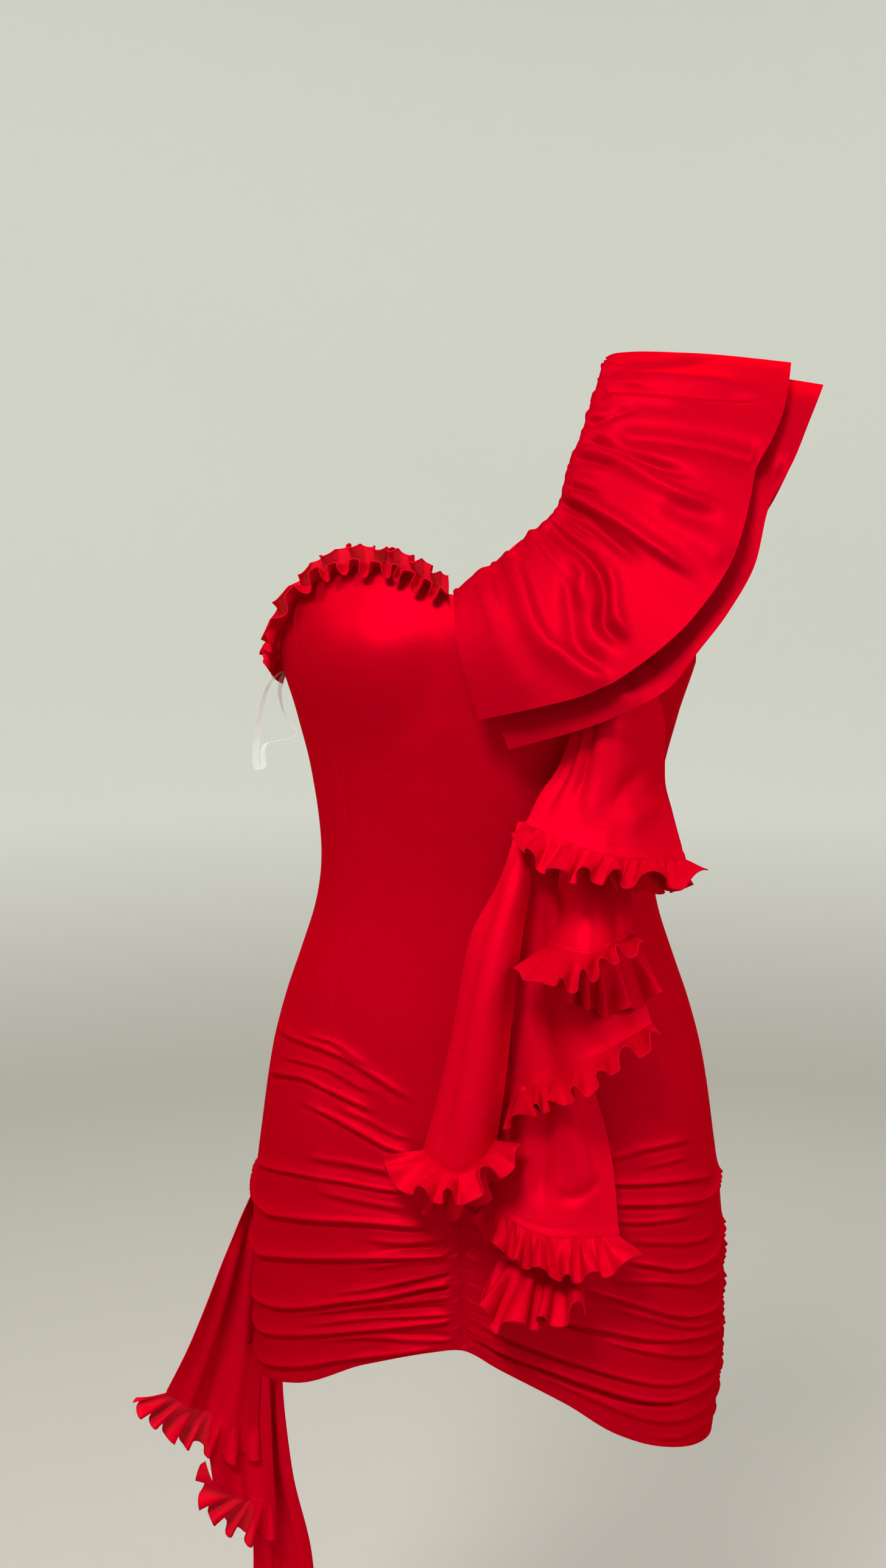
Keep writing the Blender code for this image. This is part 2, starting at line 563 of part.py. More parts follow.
def wall(name, outer, inner, colour):
    """A closed solid between an outer and an inner grid of rows and columns."""
    rows, columns = outer.shape[:2]
    points = np.vstack([outer.reshape(-1, 3), inner.reshape(-1, 3)]) - ORIGIN

    def at(side, row, column):
        return side * rows * columns + row * columns + column
    faces = []
    for r in range(rows - 1):
        for c in range(columns - 1):
            for side in (0, 1):
                first = (at(side, r, c), at(side, r, c + 1), at(side, r + 1, c + 1))
                second = (at(side, r, c), at(side, r + 1, c + 1), at(side, r + 1, c))
                faces += [first, second] if side == 0 else [first[::-1], second[::-1]]
    for r in range(rows - 1):
        faces.append((at(0, r, 0), at(0, r + 1, 0), at(1, r + 1, 0), at(1, r, 0)))
        last = columns - 1
        faces.append((at(0, r, last), at(1, r, last), at(1, r + 1, last), at(0, r + 1, last)))
    for c in range(columns - 1):
        faces.append((at(0, 0, c), at(1, 0, c), at(1, 0, c + 1), at(0, 0, c + 1)))
        last = rows - 1
        faces.append((at(0, last, c), at(0, last, c + 1), at(1, last, c + 1), at(1, last, c)))
    add_object(name, points, faces, colour)


def add_object(name, points, faces, colour):
    mesh = bpy.data.meshes.new(name)
    mesh.from_pydata([tuple(map(float, point)) for point in points], [], faces)
    mesh.polygons.foreach_set("use_smooth", [True] * len(mesh.polygons))
    mesh.update()
    item = bpy.data.objects.new(name, mesh)
    bpy.context.scene.collection.objects.link(item)
    base, roughness = colour
    material = bpy.data.materials.new(name)
    material.use_nodes = True
    shader = material.node_tree.nodes["Principled BSDF"]
    shader.inputs["Base Color"].default_value = (*base, 1.0)
    shader.inputs["Roughness"].default_value = roughness
    shader.inputs["Metallic"].default_value = 0.0
    mesh.materials.append(material)


def body_panels():
    princess, flounce_line = Curve(RIGHT_PRINCESS_SEAM), Curve(FLOUNCE_SEAM)
    front_edge = Curve(STRAPLESS_EDGE + NECK_EDGE[1:])
    panel("front_side_right", lambda run: RIGHT_SIDE, princess, front_edge, (0.0, 0.33, 0.67, 1.0))
    centre_shares = (0.0, 0.09, 0.19, 0.31, 0.43, 0.55, 0.66, 0.775, 0.88, 1.0)
    panel("front_centre", princess, flounce_line, front_edge, centre_shares)
    left_shares = (0.0, 0.16, 0.32, 0.48, 0.68, 0.84, 1.0)
    panel("front_left", flounce_line, lambda run: LEFT_SIDE, Curve(ARMHOLE), left_shares)
    back_angles = (90, 101, 112, 124, 138, 152, 166, 180, 194, 208, 222, 238, 254, 270)
    back_shares = [(angle - LEFT_SIDE) / 180.0 for angle in back_angles]
    panel("back", lambda run: LEFT_SIDE, lambda run: 270.0, Curve(BACK_EDGE), back_shares)
    strap("shoulder_front", False)
    strap("shoulder_back", True)
    cloth.finish()


def collar(name, edge_rows, lift, arch):
    """One gathered layer, from the centre front over the shoulder to the centre back."""
    seam, edge = Curve(COLLAR_SEAM), Curve(edge_rows)

    def ends(share):
        front = share <= 1.0
        way = share if front else 2.0 - share
        angle, run = seam(way)
        angle = angle if front else 180.0 - angle
        x, out, height = edge(way)
        start = cloth.seat(surface(angle, run), lift + COLLAR_CLOTH / 2)
        return start, np.array([x, -out if front else out * COLLAR_BACK_SHARE, height])

    def base(share, across):
        start, end = ends(share)
        return mix(start, end, across)

    def point(share, across):
        spot = base(share, across)
        along = base(min(share + SHARE_STEP, 2.0), across) - base(max(share - SHARE_STEP, 0.0), across)
        start, end = ends(share)
        out = unit(np.cross(end - start, along))
        way = share if share <= 1.0 else 2.0 - share
        rise = arch * math.sin(math.pi * across**0.75) * mix(1.0, COLLAR_ARCH_AT_SHOULDER, ease(0.7, 1.0, way))
        gathers = (1 + math.cos(2 * math.pi * COLLAR_GATHERS * share)) / 2
        rise += COLLAR_GATHER_DEPTH * gathers * ease(0.0, 0.15, across) * (1 - 0.85 * ease(0.2, 0.85, across))
        for seam_share, edge_share, high, spread in COLLAR_FOLDS:
            aside = (way - mix(seam_share, edge_share, across)) / spread
            rise += high * math.exp(-aside * aside) * ease(0.05, 0.4, across) * (1 - 0.5 * ease(0.6, 1.0, across))
        return spot + out * rise

    columns = 2 * COLLAR_GATHERS * SAMPLES_PER_GATHER
    grid = [
        [point(2.0 * c / columns, r / COLLAR_ROWS) for c in range(columns + 1)]
        for r in range(COLLAR_ROWS, -1, -1)
    ]
    sheet(name, np.array(grid), COLLAR_CLOTH, RED_CHIFFON)


def frill(name, seam, edge, waves, deep):
    """A gathered strip from a seam curve to a free edge, both by share, with waves that grow outward."""
    count = waves * SAMPLES_PER_WAVE
    shares = [0.0] + [(k + 0.5) / count for k in range(count)] + [1.0]
    seam_row, edge_row, seam_normals = [], [], []
    for share in shares:
        start, end = seam(share), edge(share)
        ahead = seam(min(share + SHARE_STEP, 1.0)) - seam(max(share - SHARE_STEP, 0.0))
        across = unit(end - start)
        out = unit(np.cross(ahead, across))
        wave = math.sin(2 * math.pi * waves * share) * math.sqrt(2)
        seam_row.append(start + across * FRILL_GAP)
        edge_row.append(end + out * deep * wave)
        seam_normals.append(-out)
    grid = np.array([edge_row, seam_row])
    normals = grid_normals(grid)
    normals[1] = seam_normals
    sheet(name, grid, FRILL_CLOTH, RED_CHIFFON, normals)


def neckline_frills():
    strapless = Curve(STRAPLESS_EDGE)
    back_edge = Curve(BACK_EDGE)

    def edge_point(share):
        """From the centre front round the right side to the centre back."""
        angle = mix(-6.5, -173.5, share)
        if angle >= RIGHT_SIDE:
            return angle, strapless(angle)
        return angle, back_edge(angle + 360.0)

    for name, rise, lean, lift, drop in (
        ("neckline_frill_upper", 0.80, 0.60, 0.0004, -0.0012),
        ("neckline_frill_lower", -0.72, 0.70, 0.0008, 0.0026),
    ):
        def start(share):
            angle, run = edge_point(share)
            turned = angle if angle >= RIGHT_SIDE else angle + 360.0
            return cloth.seat(surface(turned, run - max(drop, 0.0)), lift) + UP * max(-drop, 0.0)

        def end(share):
            angle, run = edge_point(share)
            turned = angle if angle >= RIGHT_SIDE else angle + 360.0
            along = unit(surface(turned, run + 0.002) - surface(turned, run - 0.002))
            direction = along * rise + normal(turned, run) * lean
            return start(share) + direction * NECKLINE_WIDTH
        frill(name, start, end, NECKLINE_WAVES, NECKLINE_WAVE_DEPTH)


def loft(row_points):
    """A smooth patch through rows, each of which is a function from across to a point."""
    heights = np.arange(len(row_points), dtype=float) / (len(row_points) - 1)

    def point(across, along):
        return Curve([(height, *row(across)) for height, row in zip(heights, row_points)])(along)
    return point


def flounce_row(row):
    """A row of a flounce fold: through its three points, or seated on the body below them."""
    line = Curve(((0.0, *row[0:3]), (0.5, *row[3:6]), (1.0, *row[6:9])))
    seated = row[2] == 0

    def point(across):
        x, height, out = line(across)
        if seated:
            return cloth.seat_in_front(x, height, FLOUNCE_SEAT + FLOUNCE_CLOTH / 2)
        return np.array([x, -out, height])
    return point


def train_row(row, seated):
    """A row of a train fold. The first one is seated on the body at the side seam."""
    line = Curve(((0.0, *row[0:3]), (0.5, *row[3:6]), (1.0, *row[6:9])))

    def point(across):
        x, height, y = line(across)
        spot = np.array([x, y, height])
        return cloth.seat(spot, SEAT + FLOUNCE_CLOTH / 2) if seated else spot
    return point


def ripple_patch(patch, ripples, deep):
    """A patch with folds that run down it and deepen towards the hem."""
    def point(across, along):
        spot = patch(across, along)
        side = patch(min(across + SHARE_STEP, 1.0), along) - patch(max(across - SHARE_STEP, 0.0), along)
        below = patch(across, min(along + SHARE_STEP, 1.0)) - patch(across, max(along - SHARE_STEP, 0.0))
        out = unit(np.cross(below, side))
        wave = math.cos(2 * math.pi * ripples * across) * math.sin(math.pi * across)
        return spot + out * deep * wave * ease(RIPPLES_START, 1.0, along)
    return point


def patch_sheet(name, patch, columns, rows):
    grid = [[patch(c / columns, r / rows) for c in range(columns + 1)] for r in range(rows, -1, -1)]
    sheet(name, np.array(grid), FLOUNCE_CLOTH, RED_CHIFFON)


def hem_line(patch, plain, columns):
    """The hem of a rippled patch by share, straight between its columns as the solid is, and its ripple."""
    shares = np.linspace(0.0, 1.0, columns + 1)
    points = np.array([patch(share, 1.0) for share in shares])
    ripple = points - np.array([plain(share, 1.0) for share in shares])

    def along(values):
        return lambda share: np.array([np.interp(share, shares, values[:, k]) for k in range(3)])
    return along(points), along(ripple)


def flounce():
    hems = []
    for number, (table, (ripples, deep)) in enumerate(zip(FLOUNCE_FOLDS, FLOUNCE_RIPPLES), 1):
        plain = loft([flounce_row(row) for row in table])
        patch = ripple_patch(plain, ripples, deep)
        hems.append(hem_line(patch, plain, FLOUNCE_COLUMNS))
        patch_sheet("flounce_fold_%d" % number, patch, FLOUNCE_COLUMNS, 2 * len(table) - 2)
    for fold, row, waves, deep, edge_rows in FLOUNCE_FRILLS:
        first, edge = edge_rows[0][0], Curve(edge_rows)
        hem_points, hem_ripple = hems[fold - 1]
        behind = np.array([0.0, SECOND_ROW_BEHIND if row == "b" else 0.0, 0.0])

        def seam_point(share):
            return hem_points(mix(first, 1.0, share)) + behind

        def edge_point(share):
            x, height, out = edge(mix(first, 1.0, share))
            return np.array([x, -out, height]) + hem_ripple(mix(first, 1.0, share))
        frill("flounce_frill_%d%s" % (fold, row), seam_point, edge_point, waves, deep)


def train():
    for number, (table, (ripples, deep)) in enumerate(zip(TRAIN_FOLDS, TRAIN_RIPPLES), 1):
        plain = loft([train_row(row, row is table[0]) for row in table])
        patch = ripple_patch(plain, ripples, deep)
        patch_sheet("train_fold_%d" % number, patch, TRAIN_COLUMNS, 2 * len(table) - 2)
        fold, waves, wave_deep, edge_rows = TRAIN_FRILLS[number - 1]
        edge = Curve(edge_rows)
        hem_points, hem_ripple = hem_line(patch, plain, TRAIN_COLUMNS)

        def edge_point(share):
            x, height, y = edge(share)
            return np.array([x, y, height]) + hem_ripple(share)
        frill("train_frill_%d" % fold, hem_points, edge_point, waves, wave_deep)


def hanger_loop():
    """The flat tape of the loop, whose two ends are seated on the side panel."""
    route = Curve([(k, *point) for k, point in enumerate(HANGER_ROUTE)])
    count = HANGER_SAMPLES * (len(HANGER_ROUTE) - 1)
    rows = []
    for side in (-0.5, 0.5):
        rows.append([])
        for k in range(count + 1):
            x, out, height = route(k / HANGER_SAMPLES)
            spot = np.array([x, -out - side * HANGER_WIDTH, height])
            rows[-1].append(cloth.seat(spot, SEAT + TAPE / 2) if k in (0, count) else spot)
    sheet("hanger_loop", np.array(rows), TAPE, CLEAR)


def clear_scene():
    for item in list(bpy.data.objects):
        bpy.data.objects.remove(item, do_unlink=True)


clear_scene()
body_panels()
collar("collar_ruffle_under", COLLAR_UNDER_EDGE, COLLAR_LIFT_UNDER, COLLAR_ARCH_UNDER)
collar("collar_ruffle_top", COLLAR_TOP_EDGE, COLLAR_LIFT_TOP, COLLAR_ARCH_TOP)
neckline_frills()
flounce()
train()
hanger_loop()
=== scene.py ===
"""The looks of the one-shoulder dress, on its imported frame.

Metres, in the frame of the part. The tables and the figure are given round the body's axis with the
waist line at height 0, the front at -Y and the wearer's left at +X; ORIGIN moves them into the frame.
Angles are degrees from the centre front towards the wearer's left. A run is a height that goes on over
the shoulder, and an out is how far a point lies in front of the axis, or behind it where it is below 0.
Tables of whole numbers count fractions of a metre or of 1, which their comments name and parts() takes.
"""
import json
import math

import bpy
import numpy as np
from mathutils import Vector
from mathutils.bvhtree import BVHTree
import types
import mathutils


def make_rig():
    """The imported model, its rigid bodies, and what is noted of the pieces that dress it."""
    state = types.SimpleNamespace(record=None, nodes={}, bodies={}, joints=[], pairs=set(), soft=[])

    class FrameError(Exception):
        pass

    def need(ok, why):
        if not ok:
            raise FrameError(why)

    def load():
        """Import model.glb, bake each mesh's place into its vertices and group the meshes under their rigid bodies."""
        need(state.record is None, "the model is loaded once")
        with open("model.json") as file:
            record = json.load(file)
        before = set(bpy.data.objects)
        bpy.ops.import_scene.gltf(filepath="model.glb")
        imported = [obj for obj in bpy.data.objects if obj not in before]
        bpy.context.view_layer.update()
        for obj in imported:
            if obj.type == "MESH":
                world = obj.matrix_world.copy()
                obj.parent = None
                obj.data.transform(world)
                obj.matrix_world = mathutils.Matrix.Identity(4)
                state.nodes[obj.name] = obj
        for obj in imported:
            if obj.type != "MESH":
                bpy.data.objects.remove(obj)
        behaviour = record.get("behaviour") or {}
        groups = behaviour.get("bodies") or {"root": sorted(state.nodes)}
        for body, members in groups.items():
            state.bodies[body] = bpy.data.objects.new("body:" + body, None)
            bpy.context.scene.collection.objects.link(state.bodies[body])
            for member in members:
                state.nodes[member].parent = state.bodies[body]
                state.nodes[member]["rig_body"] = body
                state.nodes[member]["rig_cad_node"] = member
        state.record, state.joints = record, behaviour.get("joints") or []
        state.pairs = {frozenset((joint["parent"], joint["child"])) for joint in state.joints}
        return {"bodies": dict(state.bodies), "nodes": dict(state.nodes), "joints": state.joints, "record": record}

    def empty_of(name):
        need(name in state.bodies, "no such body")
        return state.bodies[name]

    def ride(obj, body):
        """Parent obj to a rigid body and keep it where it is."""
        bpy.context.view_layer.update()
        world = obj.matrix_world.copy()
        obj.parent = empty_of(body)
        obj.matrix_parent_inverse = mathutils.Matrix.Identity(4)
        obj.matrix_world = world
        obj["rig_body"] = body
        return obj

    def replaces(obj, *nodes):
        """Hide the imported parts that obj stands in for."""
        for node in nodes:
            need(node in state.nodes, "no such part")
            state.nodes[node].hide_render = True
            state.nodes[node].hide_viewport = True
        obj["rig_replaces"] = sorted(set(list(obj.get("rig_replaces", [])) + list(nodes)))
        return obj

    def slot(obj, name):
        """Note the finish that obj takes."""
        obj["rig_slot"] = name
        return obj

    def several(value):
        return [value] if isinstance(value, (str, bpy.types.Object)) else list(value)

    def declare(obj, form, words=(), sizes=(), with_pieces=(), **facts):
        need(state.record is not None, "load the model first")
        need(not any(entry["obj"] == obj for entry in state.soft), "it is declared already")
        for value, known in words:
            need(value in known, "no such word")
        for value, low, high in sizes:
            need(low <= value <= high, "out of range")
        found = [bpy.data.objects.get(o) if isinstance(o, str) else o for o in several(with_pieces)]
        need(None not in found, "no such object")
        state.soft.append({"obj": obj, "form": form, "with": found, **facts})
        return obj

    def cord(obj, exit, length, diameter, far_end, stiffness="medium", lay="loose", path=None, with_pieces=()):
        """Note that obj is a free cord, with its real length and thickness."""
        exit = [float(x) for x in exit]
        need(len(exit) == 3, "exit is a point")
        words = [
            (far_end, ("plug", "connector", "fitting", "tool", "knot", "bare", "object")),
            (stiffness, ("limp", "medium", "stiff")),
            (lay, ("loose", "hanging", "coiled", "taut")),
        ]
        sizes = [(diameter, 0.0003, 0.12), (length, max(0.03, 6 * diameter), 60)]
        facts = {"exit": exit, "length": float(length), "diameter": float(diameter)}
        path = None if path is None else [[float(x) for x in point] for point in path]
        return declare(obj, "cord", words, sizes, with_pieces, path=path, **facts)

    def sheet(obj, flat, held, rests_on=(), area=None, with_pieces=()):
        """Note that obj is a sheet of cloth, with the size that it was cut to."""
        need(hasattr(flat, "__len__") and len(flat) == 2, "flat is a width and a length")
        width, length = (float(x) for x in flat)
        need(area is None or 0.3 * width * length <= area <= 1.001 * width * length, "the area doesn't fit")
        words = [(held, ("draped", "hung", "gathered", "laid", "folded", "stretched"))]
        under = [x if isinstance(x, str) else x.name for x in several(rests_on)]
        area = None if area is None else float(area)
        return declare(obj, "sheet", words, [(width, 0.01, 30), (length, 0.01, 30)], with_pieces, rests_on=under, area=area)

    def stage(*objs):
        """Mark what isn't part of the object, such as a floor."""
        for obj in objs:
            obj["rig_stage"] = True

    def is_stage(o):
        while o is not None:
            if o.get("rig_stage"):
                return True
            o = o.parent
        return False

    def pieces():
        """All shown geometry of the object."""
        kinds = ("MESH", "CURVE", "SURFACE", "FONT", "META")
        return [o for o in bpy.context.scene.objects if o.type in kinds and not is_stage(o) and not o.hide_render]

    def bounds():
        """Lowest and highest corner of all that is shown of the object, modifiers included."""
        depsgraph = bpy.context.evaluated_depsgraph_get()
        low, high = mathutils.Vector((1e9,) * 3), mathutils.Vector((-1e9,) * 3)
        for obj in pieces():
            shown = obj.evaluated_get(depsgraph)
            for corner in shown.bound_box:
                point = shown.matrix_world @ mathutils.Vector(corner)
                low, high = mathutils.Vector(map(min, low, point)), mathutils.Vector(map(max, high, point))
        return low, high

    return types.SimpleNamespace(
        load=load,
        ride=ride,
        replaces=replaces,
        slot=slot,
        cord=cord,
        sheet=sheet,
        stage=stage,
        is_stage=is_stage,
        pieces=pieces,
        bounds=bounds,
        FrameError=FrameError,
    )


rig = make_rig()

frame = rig.load()
cad_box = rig.bounds()

# The general figure that the cut fits: height, half width, front depth, back depth
FIGURE = (
    (0.300, 0.1660, 0.080, 0.092), (0.260, 0.1670, 0.090, 0.099), (0.220, 0.1670, 0.099, 0.104),
    (0.170, 0.1600, 0.110, 0.105), (0.120, 0.1450, 0.108, 0.101), (0.060, 0.1310, 0.099, 0.094),
    (0.000, 0.1260, 0.094, 0.090), (-0.044, 0.1370, 0.097, 0.100), (-0.084, 0.1520, 0.101, 0.111),
    (-0.142, 0.1680, 0.106, 0.126), (-0.200, 0.1770, 0.110, 0.135), (-0.250, 0.1835, 0.110, 0.133),
    (-0.301, 0.1867, 0.107, 0.127), (-0.380, 0.1857, 0.101, 0.115), (-0.460, 0.1780, 0.096, 0.108),
)
FIGURE_TOP = 0.300
ROUNDNESS = 2.2
# The cut is eased over the waist: places above and below and their shares, and the heights between which
# this sets in and ends
WAIST_EASING = ((-0.032, 0.12), (-0.020, 0.16), (-0.009, 0.22), (0.009, 0.22), (0.020, 0.16), (0.032, 0.12))
WAIST_ZONE = (-0.135, -0.060, 0.060, 0.120)
CUP_X = 0.083
CUP_HEIGHT = 0.165
CUP_RADIUS = 0.070
CUP_DEPTH = 0.014

# Way over the shoulder: run, front out, back out, height. Up to the chest the run is the height.
CHEST = 0.200
SHOULDER = (
    (0.200, 0.1050, 0.1050, 0.2000), (0.260, 0.0920, 0.1000, 0.2600), (0.300, 0.0790, 0.0900, 0.2980),
    (0.340, 0.0610, 0.0720, 0.3320), (0.370, 0.0420, 0.0500, 0.3530), (0.400, 0.0210, 0.0250, 0.3680),
    (0.424, 0.0040, 0.0050, 0.3719), (0.430, 0.00015, 0.00015, 0.3720),
)
SHOULDER_SEAM = 0.250
RIDGE = 0.430
STRAP_NECK_ANGLE = 46.5
STRAP_NECK_X = 0.0845
STRAP_X_PER_DEGREE = 0.0033
STRAP_TAPER_PER_DEGREE = 0.013
SHOULDER_MIDDLE_X = 0.112
SHOULDER_SLOPE = 0.35
ORIGIN = np.array([SHOULDER_MIDDLE_X, 0.0, 0.3704])
# Where the figure goes over into the strap: from angle to angle, and from run to run for x, y and slope
STRAP_BLEND = (20.0, 42.0)
X_BLEND = (0.25, 0.37)
Y_BLEND = (CHEST, 0.30)
SLOPE_BLEND = (0.30, RIDGE)
# Steps over which the surface's directions are taken
ANGLE_STEP = 0.5
RUN_STEP = 0.002

# Seams: run, angle
RIGHT_PRINCESS_SEAM = (
    (-0.46, -51.0), (-0.124, -51.0), (-0.025, -52.0), (0.05, -51.5), (0.17, -60.0), (0.24, -63.0),
)
FLOUNCE_SEAM = (
    (-0.46, 0.0), (-0.22, 0.5), (-0.15, 6.0), (-0.05, 16.0), (0.05, 27.0), (0.13, 38.0), (0.20, 50.0),
    (0.26, 55.0), (0.43, 55.0),
)
SIDE = 90.0
RIGHT_SIDE_OF_BACK = 270.0

# Upper edges: angle, run
STRAPLESS_EDGE = (
    (-90.0, 0.155), (-75.0, 0.170), (-66.0, 0.194), (-60.0, 0.212), (-52.0, 0.226), (-43.0, 0.232),
    (-32.0, 0.231), (-17.0, 0.221), (-5.0, 0.209),
)
NECK_EDGE = ((-5.0, 0.209), (8.6, 0.226), (28.0, 0.250), (60.0, 0.250))
ARMHOLE = ((50.0, 0.250), (67.0, 0.250), (72.0, 0.218), (79.0, 0.178), (84.5, 0.1635), (90.0, 0.1590))
BACK_EDGE = (
    (90.0, 0.1590), (95.5, 0.1635), (101.0, 0.178), (108.0, 0.218), (113.0, 0.250), (152.0, 0.250),
    (171.0, 0.226), (185.0, 0.212), (215.0, 0.195), (240.0, 0.178), (270.0, 0.155),
)
# Edges of the shoulder pieces: run, angle from the centre front or the centre back
STRAP_NECK_SIDE = ((0.250, 28.0), (0.270, 38.0), (0.300, 43.0), (0.335, 45.2), (0.380, 47.0), (0.430, 48.0))
STRAP_ARM_SIDE = ((0.250, 67.0), (0.290, 64.5), (0.360, 62.5), (0.430, 62.0))

# Hem: angle, height
HEM = (
    (-90.0, -0.418), (-61.0, -0.393), (-39.0, -0.363), (-13.0, -0.345), (-1.5, -0.341), (14.0, -0.354),
    (38.0, -0.380), (53.0, -0.406), (65.0, -0.422), (77.0, -0.432), (90.0, -0.437), (120.0, -0.440),
    (150.0, -0.436), (180.0, -0.432), (210.0, -0.430), (240.0, -0.425), (270.0, -0.418),
)
HEM_TURNED = 0.011
HEM_STITCHES = (0.0005, 0.0012)
HEM_LEVEL = -0.4

